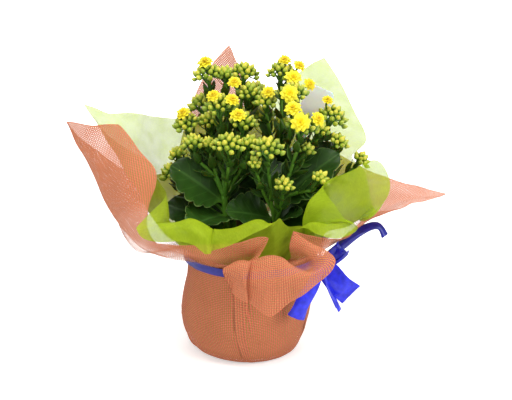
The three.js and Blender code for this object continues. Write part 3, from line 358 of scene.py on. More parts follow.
def sheet_object(name, grid, azimuths, lift, material):
    """The cloth of a sheet from its grid: the sides and flare, and a bottom disc of rings that shrink to
    the middle. The cloth's own coordinates are millimetres. Below the neck they are the way round, added
    up along a middle row with the pleats, and the way up. Above it they are a flat polar layout: the
    reach from the sheet's middle, and an angle that grows by the real width of a column over its reach,
    both on the FAN_ROW. Both start at the back, where they don't meet, and the angle is 0 at the front.
    The attribute to_edge is the way to the rim in millimetres. The attribute pulled says how far the tie
    pulls the threads apart: a half sine over the lower rows of the flare."""
    count, rows = grid.shape[:2]
    rings = [grid[:, 0] * [share, share, 0] + [0, 0, lift] for share in DISC_RINGS]
    vertices = np.concatenate([grid.reshape(-1, 3), *rings, [[0, 0, lift]]])
    ring_starts = count * rows + count * np.arange(len(DISC_RINGS))
    order = [np.arange(count) * rows] + [start + np.arange(count) for start in ring_starts]
    disc = []
    for outer, inner in zip(order[:-1], order[1:]):
        disc += np.stack([outer, inner, np.roll(inner, -1), np.roll(outer, -1)], axis=-1).tolist()
    centre = np.full(count, len(vertices) - 1)
    disc += np.stack([order[-1], centre, np.roll(order[-1], -1)], axis=-1).tolist()
    way = np.cumsum(np.linalg.norm(np.diff(grid, axis=1, prepend=grid[:, :1]), axis=-1), axis=1)
    reach = NECK_REACH + way - way[:, NECK_ROW:NECK_ROW + 1]
    back = np.searchsorted(azimuths, math.radians(BACK_SEAM))
    width = np.roll(np.linalg.norm(np.roll(grid, -1, axis=0) - grid, axis=-1), -back, axis=0)
    around = np.append(0, np.cumsum(width[:, NECK_ROW // 2]))
    angle = np.append(0, np.cumsum(width[:, FAN_ROW] / np.roll(reach, -back, axis=0)[:, FAN_ROW]))
    front = (np.searchsorted(azimuths, math.radians(FRONT)) - back) % count
    angle = angle - angle[front]
    i, k = np.meshgrid(np.arange(count), np.arange(rows - 1), indexing="ij")
    corners = []
    for di, dk in ((0, 0), (1, 0), (1, 1), (0, 1)):
        column, level, turn = (i + di) % count, k + dk, (i - back) % count + di
        below = np.stack([around[turn], way[column, level]], axis=-1)
        far = reach[column, level]
        above = np.stack([far * np.cos(angle[turn]), far * np.sin(angle[turn])], axis=-1)
        corners.append(np.where((k < NECK_ROW)[..., None], below, above))
    side_uv = np.stack(corners, axis=2).reshape(-1, 2)
    disc_uv = np.concatenate([vertices[face][:, :2] for face in disc])
    in_disc = len(vertices) - count * rows
    to_edge = np.append((way[:, -1:] - way).ravel(), np.full(in_disc, way.max()))
    rise = np.clip((np.arange(rows) - NECK_ROW) / (rows - 1 - NECK_ROW) / PULLED_ROWS, 0, 1)
    pulled = np.append(np.tile(np.sin(math.pi * rise), count), np.zeros(in_disc))
    return mesh_object(name, vertices, grid_faces(count, rows, True) + disc, material,
                       uv=np.concatenate([side_uv, disc_uv]),
                       attributes={"to_edge": to_edge, "pulled": pulled})


def gathered_sheet(name, stations, corners, inset, lift, fold, pleats, material):
    """A sheet gathered round the pot from its stations: smooth, then folded, pleated and crumpled."""
    grid, azimuths = sheet_grid(stations, corners, inset, lift)
    grid, azimuths = pleated(creased(grid, *fold), azimuths, pleats)
    return sheet_object(name, crumpled(grid, azimuths), azimuths, lift, material)


def woven_material():
    """Loosely woven cloth of two threads, with light through the holes and some through the threads. A
    thread's height is the absolute sine of its own coordinate over the spacing. The product of the two
    sines changes sign from crossing to crossing, so it lifts one thread there and sinks the other. A
    hole is where both are low. The colour carries painted light and shade of this relief, lighter on the
    raised threads and darker where they sink, but not on the hem. The cut edge has a close narrow hem."""
    material, tree = new_material("loosely woven terracotta cloth")
    place = add(tree, "UVMap", uv_map="cloth")
    sines = []
    for axis in (0, 1):
        way = add(tree, "SeparateXYZ", [place], output=axis)
        turn = add(tree, "Math", [way, math.pi / WEAVE], operation="MULTIPLY")
        sines.append(add(tree, "Math", [turn], operation="SINE"))
    over = add(tree, "Math", sines, operation="MULTIPLY")
    threads = []
    for sine, lift in zip(sines, (THREAD_LIFT, -THREAD_LIFT)):
        plain = add(tree, "Math", [sine], operation="ABSOLUTE")
        threads.append(add(tree, "Math", [over, lift, plain], operation="MULTIPLY_ADD"))
    height = add(tree, "Math", threads, operation="MAXIMUM")
    cover = add(tree, "MapRange", {"Value": height, **HOLE}, interpolation_type="SMOOTHSTEP")
    uneven = add(tree, "TexNoise", {"Vector": place, "Scale": PATCHES, "Detail": 3.0})
    uneven = add(tree, "Math", [uneven, 0.24, 0.86], operation="MULTIPLY_ADD")
    cover = add(tree, "Math", [cover, uneven], operation="MULTIPLY")
    pulled = add(tree, "Attribute", output="Fac", attribute_name="pulled")
    parted = add(tree, "Math", [pulled, -PARTED, 1.0], operation="MULTIPLY_ADD")
    cover = add(tree, "Math", [cover, parted], operation="MULTIPLY")
    to_edge = add(tree, "Attribute", output="Fac", attribute_name="to_edge")
    hem = add(tree, "MapRange", {"Value": to_edge, "From Min": HEM, "From Max": HEM * 1.6, "To Min": 0.9,
                                 "To Max": 0.0})
    cover = add(tree, "Math", [cover, hem], operation="MAXIMUM")
    first = add(tree, "Math", threads, operation="GREATER_THAN")
    colour = add(tree, "Mix", {0: first, 6: ACROSS_THREAD, 7: ALONG_THREAD}, output=2, data_type="RGBA")
    fleck = add(tree, "TexNoise", {"Vector": place, "Scale": FLECKS, "Detail": 2.0})
    shade = add(tree, "MapRange", {"Value": fleck, "To Min": 0.8, "To Max": 1.2})
    # Painted light and shade of the threads' relief: the colour is scaled from 0.42 where a thread sinks to
    # 1.12 where it rises, and not darker than 0.9 at the hem.
    depth = add(tree, "MapRange", {"Value": height, "From Min": 0.5, "From Max": 1.2, "To Min": 0.42,
                                   "To Max": 1.12})
    depth = add(tree, "Math", [depth, hem], operation="MAXIMUM")
    shade = add(tree, "Math", [shade, depth], operation="MULTIPLY")
    colour = add(tree, "VectorMath", {"Vector": colour, "Scale": shade}, operation="SCALE")
    surface = add(tree, "BsdfPrincipled", {"Base Color": colour, "Roughness": 0.8})
    through = add(tree, "BsdfTranslucent", {"Color": colour})
    cloth = add(tree, "MixShader", [0.05, surface, through])
    clear = add(tree, "BsdfTransparent")
    add(tree, "OutputMaterial", {"Surface": add(tree, "MixShader", [cover, clear, cloth])})
    return material


outer_wrapping = gathered_sheet("outer_wrapping", OUTER_STATIONS, OUTER_CORNERS, 0, 0, OUTER_FOLD,
                                OUTER_PLEATS, woven_material())
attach(outer_wrapping, "root")
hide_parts("wrap_outer")


# Inner wrapping: a square of thin lime non-woven cloth, felted from fine fibres and nearly see-through
# where it is single. It stands inside the woven one and is tied with it.
INNER_STATIONS = [
    (168, (-84, 8, 125), (-113, 4, 172), (-141, 2, 220), (-165, 2, 257)),  # left corner
    (180, (-87, -8, 127), (-112, -10, 166), (-132, -10, 205), (-145, -9, 232)),
    (192, (-84, -24, 129), (-103, -26, 163), (-114, -24, 196), (-119, -20, 217)),
    (203, (-80, -34, 131), (-92, -36, 159), (-100, -34, 186), (-96, -30, 205)),  # standing strip
    (213, (-71, -42, 132), (-78, -46, 149), (-87, -47, 170), (-91, -40, 193)),
    (220, (-73, -50, 133), (-80, -56, 150), (-80, -56, 165), (-83, -50, 181)),
    (226, (-68, -57, 131), (-83, -64, 152), (-95, -78, 163), (-110, -80, 159)),  # first turned-down tip
    (231, (-63, -63, 133), (-77, -72, 159), (-90, -90, 166), (-103, -90, 153)),
    (236, (-56, -68, 134), (-68, -80, 165), (-80, -98, 168), (-88, -98, 152)),
    (241, (-49, -72, 134), (-59, -84, 170), (-65, -100, 169), (-68, -101, 154)),
    (246, (-43, -74, 134), (-48, -86, 167), (-51, -102, 164), (-53, -103, 151)),
    (250, (-35, -75, 135), (-38, -88, 162), (-41, -105, 159), (-43, -107, 145)),  # second turned-down tip
    (253, (-29, -75, 135), (-34, -86, 159), (-36, -99, 156), (-34, -104, 146)),
    (256, (-24, -75, 134), (-23, -84, 159), (-23, -98, 158), (-21, -103, 150)),
    (262, (-12, -76, 132), (-6, -84, 163), (-6, -97, 166), (-4, -102, 159)),
    (268, (-3, -75, 130), (9, -84, 167), (10, -94, 170), (12, -99, 166)),
    (275, (7, -73, 127), (18, -78, 148), (21, -82, 162), (24, -85, 171)),
    (281, (16, -70, 125), (22, -73, 135), (28, -72, 147), (33, -72, 158)),  # valley
    (286, (26, -65, 126), (34, -66, 141), (40, -67, 152), (45, -71, 158)),
    (291, (34, -61, 129), (47, -60, 149), (56, -74, 161), (62, -80, 152)),
    (296, (40, -58, 131), (59, -58, 151), (75, -70, 160), (81, -76, 147)),
    (300, (45, -55, 132), (67, -54, 151), (89, -62, 160), (100, -64, 151)),  # collar under the roll
    (303, (46, -54, 132), (57, -60, 149), (75, -68, 159), (89, -70, 161)),
    (306, (48, -53, 133), (53, -60, 153), (66, -68, 171), (80, -70, 175)),
    (309, (50, -52, 134), (49, -60, 162), (54, -64, 179), (66, -62, 194)),  # rolled corner, front edge
    (313, (52, -50, 134), (51, -54, 161), (62, -54, 182), (76, -48, 197)),
    (319, (58, -45, 133), (69, -42, 153), (84, -36, 177), (95, -32, 199)),
    (327, (64, -38, 133), (85, -30, 148), (105, -20, 172), (122, -14, 204)),  # rolled corner, top
    (335, (68, -30, 132), (92, -24, 144), (116, -12, 160), (135, -6, 181)),
    (343, (72, -20, 130), (96, -20, 138), (120, -14, 150), (134, -6, 164)),
    (350, (74, -10, 130), (97, -12, 136), (113, -19, 147), (121, -21, 155)),  # rolled corner, lower end
    (356, (76, 0, 129), (92, 4, 137), (106, 4, 144), (120, 4, 152)),
    (368, (76, 14, 130), (89, 24, 143), (101, 36, 158), (114, 44, 175)),
    (380, (73, 26, 130), (83, 40, 150), (94, 54, 171), (103, 60, 184)),
    (392, (67, 38, 130), (78, 52, 155), (95, 66, 181), (118, 72, 198)),
    (406, (57, 50, 132), (72, 66, 167), (89, 80, 207), (105, 86, 227)),
    (418, (47, 60, 133), (60, 78, 180), (68, 94, 230), (75, 106, 278)),  # back corner
    (432, (30, 66, 134), (37, 82, 184), (43, 96, 235), (53, 104, 266)),
    (448, (9, 70, 134), (9, 84, 178), (9, 92, 214), (9, 98, 234)),
    (466, (-16, 66, 134), (-26, 78, 174), (-33, 86, 205), (-37, 90, 223)),
    (482, (-37, 58, 131), (-54, 68, 167), (-66, 74, 198), (-74, 78, 220)),
    (496, (-55, 48, 128), (-78, 52, 166), (-96, 56, 199), (-106, 60, 228)),
    (508, (-69, 36, 126), (-93, 34, 167), (-112, 34, 210), (-122, 38, 238)),
    (518, (-79, 22, 125), (-104, 16, 171), (-126, 14, 216), (-143, 16, 244)),
]
INNER_CORNERS = [168, 226, 250, 350, 418]
INNER_INSET = 3.5  # mm, how far the inner sheet lies inside the outer one
INNER_LIFT = 1.1  # mm, how far its bottom lies above the outer sheet's
INNER_FOLD = (11.4, 8)  # the sharp fold in the second turned-down tip: its station and height, mm
INNER_PLEATS = [(205, 9), (236, 9), (268, 9), (320, 9), (346, 9), (400, 9), (459, 9), (490, 9)]
FIBRES = 0.9  # per mm: fibres about 1 mm apart and three times as long
CLOUDS = 0.07  # per mm: thicker and thinner patches of 14 mm
LIME_DARK = "#A0BC18"
LIME_LIGHT = "#BCD42C"


def felted_material():
    """Thin felt of fibres that lets light through: a mix of a matt surface and a translucent one, with
    holes between the fibres. Its density and colour follow the mean of two noises, a fine one stretched
    along the fibres and a broad one."""
    material, tree = new_material("thin lime non-woven cloth")
    place = add(tree, "UVMap", uv_map="cloth")
    stretched = add(tree, "Mapping", {"Vector": place, "Scale": (0.35, 1, 1)})
    fibres = add(tree, "TexNoise", {"Vector": stretched, "Scale": FIBRES, "Detail": 4.0, "Roughness": 0.7})
    cloud = add(tree, "TexNoise", {"Vector": place, "Scale": CLOUDS, "Detail": 3.0})
    cloud = add(tree, "Math", [cloud, 0.5], operation="MULTIPLY")
    both = add(tree, "Math", [fibres, 0.5, cloud], operation="MULTIPLY_ADD")
    colour = add(tree, "ValToRGB", [both], stops=[(0.3, LIME_DARK), (0.7, LIME_LIGHT)])
    cover = add(tree, "MapRange", {"Value": both, "From Min": 0.3, "From Max": 0.7, "To Min": 0.68,
                                   "To Max": 0.88})
    surface = add(tree, "BsdfPrincipled", {"Base Color": colour, "Roughness": 0.6, "Specular IOR Level": 0.2})
    through = add(tree, "BsdfTranslucent", {"Color": colour})
    cloth = add(tree, "MixShader", [0.45, surface, through])
    clear = add(tree, "BsdfTransparent")
    add(tree, "OutputMaterial", {"Surface": add(tree, "MixShader", [cover, clear, cloth])})
    return material


inner_wrapping = gathered_sheet("inner_wrapping", INNER_STATIONS, INNER_CORNERS, INNER_INSET, INNER_LIFT,
                                INNER_FOLD, INNER_PLEATS, felted_material())
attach(inner_wrapping, "root")
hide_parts("wrap_inner")


# Nursery pot: a thin pot of brown polypropylene, moulded in one with its rolled rim, standing loose inside
# the wrapping. Its profile is radius and height in millimetres.
POT_PROFILE = [(0, 2.2), (38, 2.2), (41, 3.0), (42.3, 5.0), (60.3, 102), (61.2, 104.6), (63, 106.2),
               (63, 115.2), (62.6, 115.9), (61.8, 115.9), (61.4, 115.2), (61.4, 107), (58.9, 103),
               (40.6, 6.4), (38, 3.8), (0, 3.8)]
POT_COLUMNS = 96
POT_COLOUR = "#5A3A2A"


def turned(profile, columns):
    """The vertices and faces of a profile of radius and height turned round Z. A radius of 0 is a single
    point on the axis."""
    angles = np.arange(columns) * 2 * math.pi / columns
    inner = np.array(profile[1:-1], float)
    ring = np.stack([np.cos(angles), np.sin(angles)], axis=-1)
    sides = inner[None, :, :1] * ring[:, None, :]
    heights = np.broadcast_to(inner[None, :, 1:], (columns, len(inner), 1))
    vertices = np.concatenate([np.concatenate([sides, heights], axis=-1).reshape(-1, 3),
                               [[0, 0, profile[0][1]], [0, 0, profile[-1][1]]]])
    rows = len(inner)
    first = np.arange(columns) * rows
    after = np.roll(first, -1)
    bottom, top = len(vertices) - 2, len(vertices) - 1
    faces = grid_faces(columns, rows, True)
    faces += np.stack([np.full(columns, bottom), after, first], axis=-1).tolist()
    faces += np.stack([np.full(columns, top), first + rows - 1, after + rows - 1], axis=-1).tolist()
    return vertices, faces


def plain_material(name, inputs):
    """An opaque material of one colour, from the inputs of its surface."""
    material, tree = new_material(name)
    add(tree, "OutputMaterial", {"Surface": add(tree, "BsdfPrincipled", inputs)})
    return material


polypropylene = plain_material("brown polypropylene", {"Base Color": POT_COLOUR, "Roughness": 0.5})
pot = mesh_object("nursery_pot", *turned(POT_PROFILE, POT_COLUMNS), polypropylene)
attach(pot, "root")
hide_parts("pot")


# Compost: moist peat and bark, filling the pot to a finger's width under its rim. It is heaped a little
# towards the middle, a quarter sine from its edge, with crumbs on top.
SOIL_PROFILE = [(0, 4.2), (37.4, 4.2), (39.4, 6.8), (57.4, 99.5), (55, 100.6)]
SOIL_HEAP = 4.2  # mm
SOIL_RINGS = 26
SOIL_COLUMNS = 120
SOIL_CRUMBS = (30, 14, 3, 31)  # number of waves, the longest and shortest in mm, and the seed
CRUMB_HEIGHT = 0.8  # mm
PEAT_CELLS = 350.0  # per metre: crumbs of 3 mm
BARK_FLECKS = 220.0  # per metre: flecks of 4 to 5 mm
PEAT_PALE = "#3A281C"
PEAT_DARK = "#1C130D"
BARK = "#6B4A30"


def compost_material():
    """Dark crumbs from a cell pattern, with paler bark flecks where a fine noise is high."""
    material, tree = new_material("moist peat and bark compost")
    place = add(tree, "TexCoord", output="Object")
    crumbs = add(tree, "TexVoronoi", {"Vector": place, "Scale": PEAT_CELLS})
    flecks = add(tree, "TexNoise", {"Vector": place, "Scale": BARK_FLECKS, "Detail": 4.0})
    bark = add(tree, "MapRange", {"Value": flecks, "From Min": 0.55, "From Max": 0.7})
    peat = add(tree, "ValToRGB", [crumbs], stops=[(0.0, PEAT_PALE), (0.6, PEAT_DARK)])
    colour = add(tree, "Mix", {0: bark, 6: peat, 7: BARK}, output=2, data_type="RGBA")
    bump = add(tree, "Bump", {"Height": crumbs, "Strength": 0.6, "Distance": 0.001})
    surface = add(tree, "BsdfPrincipled", {"Base Color": colour, "Roughness": 0.95, "Normal": bump})
    add(tree, "OutputMaterial", {"Surface": surface})
    return material


edge, edge_height = SOIL_PROFILE[-1]
way = np.arange(1, SOIL_RINGS + 1) / SOIL_RINGS
heap = np.column_stack([edge * (1 - way), edge_height + SOIL_HEAP * np.sin(0.5 * math.pi * way)])
vertices, faces = turned(np.concatenate([SOIL_PROFILE, heap]), SOIL_COLUMNS)
crumble = waves(vertices[:, 0], vertices[:, 1], *SOIL_CRUMBS) * CRUMB_HEIGHT
vertices[:, 2] += np.where(vertices[:, 2] > edge_height, crumble, 0)
soil = mesh_object("compost", vertices, faces, compost_material())
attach(soil, "root")
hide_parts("soil")


# Plant label: a pale tag of stiff plastic on a narrow stake, pushed into the compost behind the flowers
# on the right and left blank. Its outline is across and up from the foot, in millimetres.
LABEL_TOP = np.array([70, 25, 268.0])
LABEL_FOOT = np.array([-4, 44, 88.0])
LABEL_WIDTH = np.array([1, -0.1, 0])  # direction
LABEL_OUTLINE = [(-3, 0), (3, 0), (4, 152), (14, 162), (14, 187), (12.8, 191.2), (10, 193.6), (-10, 193.6),
                 (-12.8, 191.2), (-14, 187), (-14, 162), (-4, 152)]
LABEL_THICKNESS = 1.0  # mm
LABEL_COLOUR = "#FBFCFA"


def slab(outline, thickness):
    """The vertices and faces of a flat shape in X and Y, half its thickness above and below Z = 0."""
    count = len(outline)
    low = np.column_stack([np.array(outline, float), np.full(count, -thickness / 2)])
    vertices = np.concatenate([low, low + [0, 0, thickness]])
    faces = [list(range(count))[::-1], list(range(count, 2 * count))]
    faces += [[k, (k + 1) % count, (k + 1) % count + count, k + count] for k in range(count)]
    return vertices, faces


vertices, faces = slab(LABEL_OUTLINE, LABEL_THICKNESS)
up = unit(LABEL_TOP - LABEL_FOOT)
across = unit(LABEL_WIDTH - up * np.dot(LABEL_WIDTH, up))
vertices = LABEL_FOOT + vertices @ np.stack([across, up, np.cross(across, up)])
stiff_plastic = plain_material("pale stiff plastic", {"Base Color": LABEL_COLOUR, "Roughness": 0.4,
                                                      "Subsurface Weight": 0.8})
label = mesh_object("plant_tag", vertices, faces, stiff_plastic, smooth=False)
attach(label, "root")
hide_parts("plant_label")


# Ribbon: royal blue satin, 25 mm wide, folded narrow round the neck and tied in a bow on the right. Each
# strip is a row of places in millimetres with the direction of its width and its half width.
RIBBON_WIDTH = 25.0
STRIPS = {
    "wide tail": [((68.4, -38.2, 103.1), (0.7, 0, 0.7), 5), ((75, -44, 98), (0.7, 0.1, 0.7), 11),
                  ((86, -50, 86), (0.7, 0, 0.7), 12), ((97, -48, 76), (0.75, 0, 0.66), 13)],
    "hanging tail": [((64.7, -40.3, 101.6), (1, 0.3, 0), 4), ((60, -54, 93), (0.9, 0.5, 0.2), 6),
                     ((50, -64, 78), (0.9, 0.4, 0.3), 8), ((42, -66, 60), (0.95, 0.2, 0.2), 9)],
    "narrow tail": [((67.2, -39.1, 99.9), (0.1, 1, -0.2), 3), ((73, -48, 82), (0, 0.94, -0.34), 8),
                    ((83, -52, 61), (0, 0.94, -0.34), 9)],
    "upper loop": [((66.6, -40.1, 107.4), (0.6, 0.3, -0.6), 4), ((74, -54, 116), (0.65, 0.2, -0.7), 6),
                   ((83, -62, 129), (0.7, 0, -0.7), 6.5), ((86.5, -61.5, 133), (0.7, 0, -0.7), 6.5),
                   ((87, -56, 127), (0.7, 0, -0.7), 6.5), ((79, -47, 114), (0.65, 0.2, -0.7), 6),
                   ((69.3, -38.6, 104.9), (0.6, 0.3, -0.6), 4)],
    "back tail": [((69.1, -34.7, 106.1), (0.1, 1, -0.2), 4), ((83, -21, 112), (-0.6, 1, 0.1), 5),
                  ((104, 1, 120), (-0.6, 1, 0.1), 6), ((126, 12, 124), (-0.1, 1, 0.1), 6),
                  ((133, 9, 115), (0.3, 1, 0.2), 6)],
}
STRIP_PAINTED_SHADE = [0, 0, 0.2, 0.7, 1]  # how much painted shade each strip's colour gets, most on the loop and tail that lie in shade behind the bow
STRIP_SEED = 50
STRIP_STEPS = 10  # rows of mesh between two places
STRIP_COLUMNS = 13
SATIN_CREASES = (8, 12, 4)  # number of waves, and the longest and shortest
CREASED_BY = 0.35  # mm
BAND_COLUMNS = 180
BAND_TOP = 3  # mm under the neck
BAND_WIDTH = 8  # mm
BAND_GAP = 0.5  # mm from the outer sheet
BAND_FOLDS = [(0, 1.2), (0.5, 1.45), (1, 1.2), (1, 0.8), (0.5, 0.65), (0, 0.8), (0, 0.4), (0.5, 0.3),
              (1, 0.3)]  # share of the width from the top down, and mm outwards
BAND_WAVES = (8, 60, 20, 41)  # number of waves, the longest and shortest in mm, and the seed
BAND_UNEVEN = 0.12  # mm
KNOT = (66, -37, 104)
KNOT_RADII = (8, 7.5, 6.5)
KNOT_COLUMNS = 32
KNOT_ROWS = 17
KNOT_POLE = 0.03  # radians left open at its ends
# painted shade on the knot's colour
KNOT_PAINTED_SHADE = 0.5
PAINTED_SHADE_STRENGTH = 0.65  # share of the colour that the painted shade takes away at its fullest
SATIN_GRAIN = 160.0  # per metre: lighter and darker by 6 mm
SATIN_DARK = "#1A22C8"
SATIN_LIGHT = "#2C36F4"


class Parts:
    """Parts that grow into one mesh: vertices in millimetres, faces, and a value for each vertex under
    each attribute's name."""

    def __init__(self, *names):
        self.vertices = []
        self.faces = []
        self.values = {name: [] for name in names}
        self.count = 0

    def surface(self, grid, closed, **values):
        """An open surface from a grid of points (columns, rows, 3), with one value for all of it."""
        self.faces += grid_faces(*grid.shape[:2], closed, self.count)
        self.vertices.append(grid.reshape(-1, 3))
        for name, store in self.values.items():
            store.append(np.full(len(self.vertices[-1]), values[name], float))
        self.count += len(self.vertices[-1])

    def loft(self, rings, **values):
        """A closed body through rings, an array (along, around, 3) whose rings run anticlockwise seen
        from the far end, shut by a point in the middle of the first and last ring. A value is one number
        or an array that spreads over the rings, and is 0 where it isn't given."""
        along, around = rings.shape[:2]
        ends = [rings[0].mean(axis=0, keepdims=True), rings[-1].mean(axis=0, keepdims=True)]
        self.vertices.append(np.concatenate([rings.reshape(-1, 3)] + ends))
        k, i = np.meshgrid(np.arange(along - 1) * around, np.arange(around), indexing="ij")
        after = (i + 1) % around
        quads = np.stack([k + i, k + after, k + around + after, k + around + i], axis=-1).reshape(-1, 4)
        centre = along * around
        first = np.arange(around)
        last = first + centre - around
        caps = [np.stack([np.full(around, centre), np.roll(first, -1), first], axis=-1),
                np.stack([np.full(around, centre + 1), last, np.roll(last, -1)], axis=-1)]
        for part in [quads] + caps:
            self.faces += (part + self.count).tolist()
        for name, store in self.values.items():
            spread = np.broadcast_to(np.asarray(values.get(name, 0.0), float), (along, around))
            store.append(np.concatenate([spread.ravel(), [spread[0].mean(), spread[-1].mean()]]))
        self.count += centre + 2

    def tube(self, path, radii, around, **values):
        """A round tube along a path of points, whose radius runs evenly from the first to the last of
        radii. Its rings stand square to the path, in a frame carried along it."""
        path = np.asarray(path, float)
        ahead = unit(np.gradient(path, axis=0))
        side = unit(np.cross(ahead, [0.31, 0.95, 0.05]))
        other = np.cross(ahead, side)
        angle = (np.arange(around) * 2 * math.pi / around)[None, :, None]
        radius = np.interp(np.linspace(0, 1, len(path)), np.linspace(0, 1, len(radii)), radii)[:, None, None]
        rings = path[:, None] + radius * (side[:, None] * np.cos(angle) + other[:, None] * np.sin(angle))
        self.loft(rings, **values)

    def finished(self, name, material):
        """The mesh object."""
        attributes = {key: np.concatenate(store) for key, store in self.values.items()}
        return mesh_object(name, np.concatenate(self.vertices), self.faces, material, attributes=attributes)


def band_grid():
    """The ribbon round the neck, folded narrow: rows at the places of BAND_FOLDS, on the outer sheet's own
    reach at their height and a little uneven."""
    angles = np.arange(BAND_COLUMNS) * 2 * math.pi / BAND_COLUMNS
    rows = []
    for down, out in reversed(BAND_FOLDS):
        height = NECK_Z - NECK_TILT * np.sin(angles) - BAND_TOP - BAND_WIDTH * down
        level = np.minimum(height, SIDE[-1][0])
        reach = table_value(SIDE, level) - WRAP_SHIFT * table_value(SHIFT_SHARE, level) * np.cos(angles)
        reach = reach + BAND_GAP + out + waves(angles * SIDE[-1][1], height, *BAND_WAVES) * BAND_UNEVEN
        rows.append(np.stack([reach * np.cos(angles), reach * np.sin(angles), height], axis=-1))
    return np.stack(rows, axis=1)


def strip_grid(sections, seed):
    """A strip of ribbon as a grid along and across. Where it is narrower than the ribbon it is cupped:
    its section is an arc as long as the ribbon is wide, over a chord of the strip's width. Fine waves
    across it are the satin's creases."""
    places = smooth_curve([place for place, _, _ in sections], STRIP_STEPS)
    wide = smooth_curve([unit(direction) for _, direction, _ in sections], STRIP_STEPS)
    half = smooth_curve([[width] for _, _, width in sections], STRIP_STEPS)
    along = unit(np.gradient(places, axis=0))
    wide = unit(wide - along * np.sum(wide * along, axis=-1, keepdims=True))
    facing = np.cross(along, wide)
    chord = np.minimum(2 * half / RIBBON_WIDTH, 1)
    bend = np.minimum(np.sqrt(6 * (1 - chord)) * (1 + 0.12 * (1 - chord)), 2.2)
    share = np.linspace(-1, 1, STRIP_COLUMNS)
    size = half / np.maximum(np.sin(bend), 0.05)
    sideways = np.where(bend > 0.05, size * np.sin(bend * share), half * share)
    cup = np.where(bend > 0.05, size * (np.cos(bend * share) - np.cos(bend)) * 0.6, 0)
    row = np.arange(len(places))[:, None]
    crease = waves(0.5 * row, 9 * share[None], *SATIN_CREASES, seed) * CREASED_BY
    return places[:, None] + wide[:, None] * sideways[..., None] + facing[:, None] * (cup + crease)[..., None]


def knot_grid():
    """The knot: a puckered wrap of the same ribbon, an ellipsoid whose reach swells in five lobes."""
    theta = (np.arange(KNOT_COLUMNS) * 2 * math.pi / KNOT_COLUMNS)[:, None]
    phi = np.linspace(math.pi - KNOT_POLE, KNOT_POLE, KNOT_ROWS)[None]
    bulge = 1 + 0.07 * np.sin(5 * theta + 1.5 * np.cos(phi)) * np.sin(phi)
    sphere = [np.sin(phi) * np.cos(theta), np.sin(phi) * np.sin(theta), np.cos(phi) + 0 * theta]
    return np.stack(sphere, axis=-1) * KNOT_RADII * bulge[..., None] + KNOT


def satin_material():
    """Satin: a smooth blue whose sheen runs along the threads. Its colour is painted darker where it lies in
    shade: round the neck under the flare, in the knot, and on the loop and tail behind the bow."""
    material, tree = new_material("royal blue satin ribbon")
    place = add(tree, "TexCoord", output="Object")
    grain = add(tree, "TexNoise", {"Vector": place, "Scale": SATIN_GRAIN, "Detail": 2.0})
    colour = add(tree, "ValToRGB", [grain], stops=[(0.3, SATIN_DARK), (0.7, SATIN_LIGHT)])
    # Painted shade: the colour is darkened by each part's share of shade.
    layers = add(tree, "Attribute", output="Fac", attribute_name="layers")
    shade = add(tree, "Math", [layers, -PAINTED_SHADE_STRENGTH, 1.0], operation="MULTIPLY_ADD")
    colour = add(tree, "VectorMath", {"Vector": colour, "Scale": shade}, operation="SCALE")
    surface = add(tree, "BsdfPrincipled", {"Base Color": colour, "Roughness": 0.34, "Anisotropic": 0.4,
                                           "Specular IOR Level": 0.5})
    add(tree, "OutputMaterial", {"Surface": surface})
    return material


# Each part says how much painted shade its colour gets: full on the band under the flare, half on the knot,
# and most on the loop and tail behind the bow.
satin = Parts("layers")
satin.surface(band_grid(), True, layers=1)
for k, (sections, layers) in enumerate(zip(STRIPS.values(), STRIP_PAINTED_SHADE)):
    satin.surface(strip_grid(sections, STRIP_SEED + k), False, layers=layers)
satin.surface(knot_grid(), True, layers=KNOT_PAINTED_SHADE)
ribbon = satin.finished("ribbon_and_bow", satin_material())
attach(ribbon, "root")
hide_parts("ribbon")


# Leafy stems: four flaming katy plants share the pot. Each has a fleshy upright stem, thick scalloped
# leaves on short leaf stalks, and the bare stalks of its flower heads with a few small bracts. A plant is
# the foot of its stem and the stem's top, in millimetres.
PLANTS = [((-24, -18), (-28, -21, 170)), ((20, -22), (24, -25, 168)), ((-20, 26), (-24, 28, 180)),
          ((26, 24), (30, 24, 180))]
STEM_FOOT_Z = 84
STEM_BEND_Z = 108
STEM_RADII = (4, 3)
STALK_RADII = (1.9, 1.5)
PETIOLE = 9  # mm of leaf stalk before the blade
LEAF_FOLD = 0.28  # how far the sides of a blade stand up
LEAF_BEND = 0.16  # share of its length by which its tip hangs
LEAF_THICKNESS = 1.8  # mm

# The leaves of each plant: height on the stem, azimuth and pitch in degrees, length, width, number of
# scallops on a side, and roll in degrees.
LEAVES = [
    [(162, 186, 42, 56, 50, 5, -50), (150, 235, 12, 46, 46, 5, -10), (134, 178, 26, 56, 44, 4, -50),
     (108, 215, 32, 43, 34, 4, -20), (146, 18, 34, 34, 32, 4, 45), (122, 270, 28, 45, 40, 4, -20),
     (104, 139, 30, 46, 38, 3, 0), (134, 70, 45, 38, 30, 3, 0), (158, 101, 60, 40, 32, 3, 0),
     (166, 335, 56, 46, 36, 3, 20)],
    [(164, 2, 44, 68, 48, 5, 45), (140, 359, 40, 54, 48, 4, 48), (146, 208, 24, 46, 42, 5, -35),
     (110, 281, 46, 46, 42, 4, 0), (126, 25, 40, 54, 42, 4, 35), (140, 309, 38, 34, 27, 4, 20),
     (166, 120, 50, 48, 38, 3, 0)],
    [(112, 148, 53, 52, 42, 3, 0), (128, 190, 42, 54, 42, 4, -30), (146, 98, 48, 54, 42, 3, 0),
     (148, 205, 27, 54, 42, 4, -40), (164, 145, 46, 58, 44, 3, -20), (176, 200, 50, 46, 38, 4, -50),
     (156, 352, 38, 40, 44, 4, 50), (176, 300, 62, 46, 36, 3, 0)],
    [(112, 40, 48, 52, 42, 3, 0), (120, 340, 40, 50, 40, 4, 30), (142, 12, 36, 58, 44, 4, 35),
     (154, 3, 38, 38, 29, 4, 20), (176, 334, 34, 58, 44, 5, 50), (148, 165, 27, 40, 40, 4, -50),
     (176, 230, 62, 48, 38, 3, 0)],
]

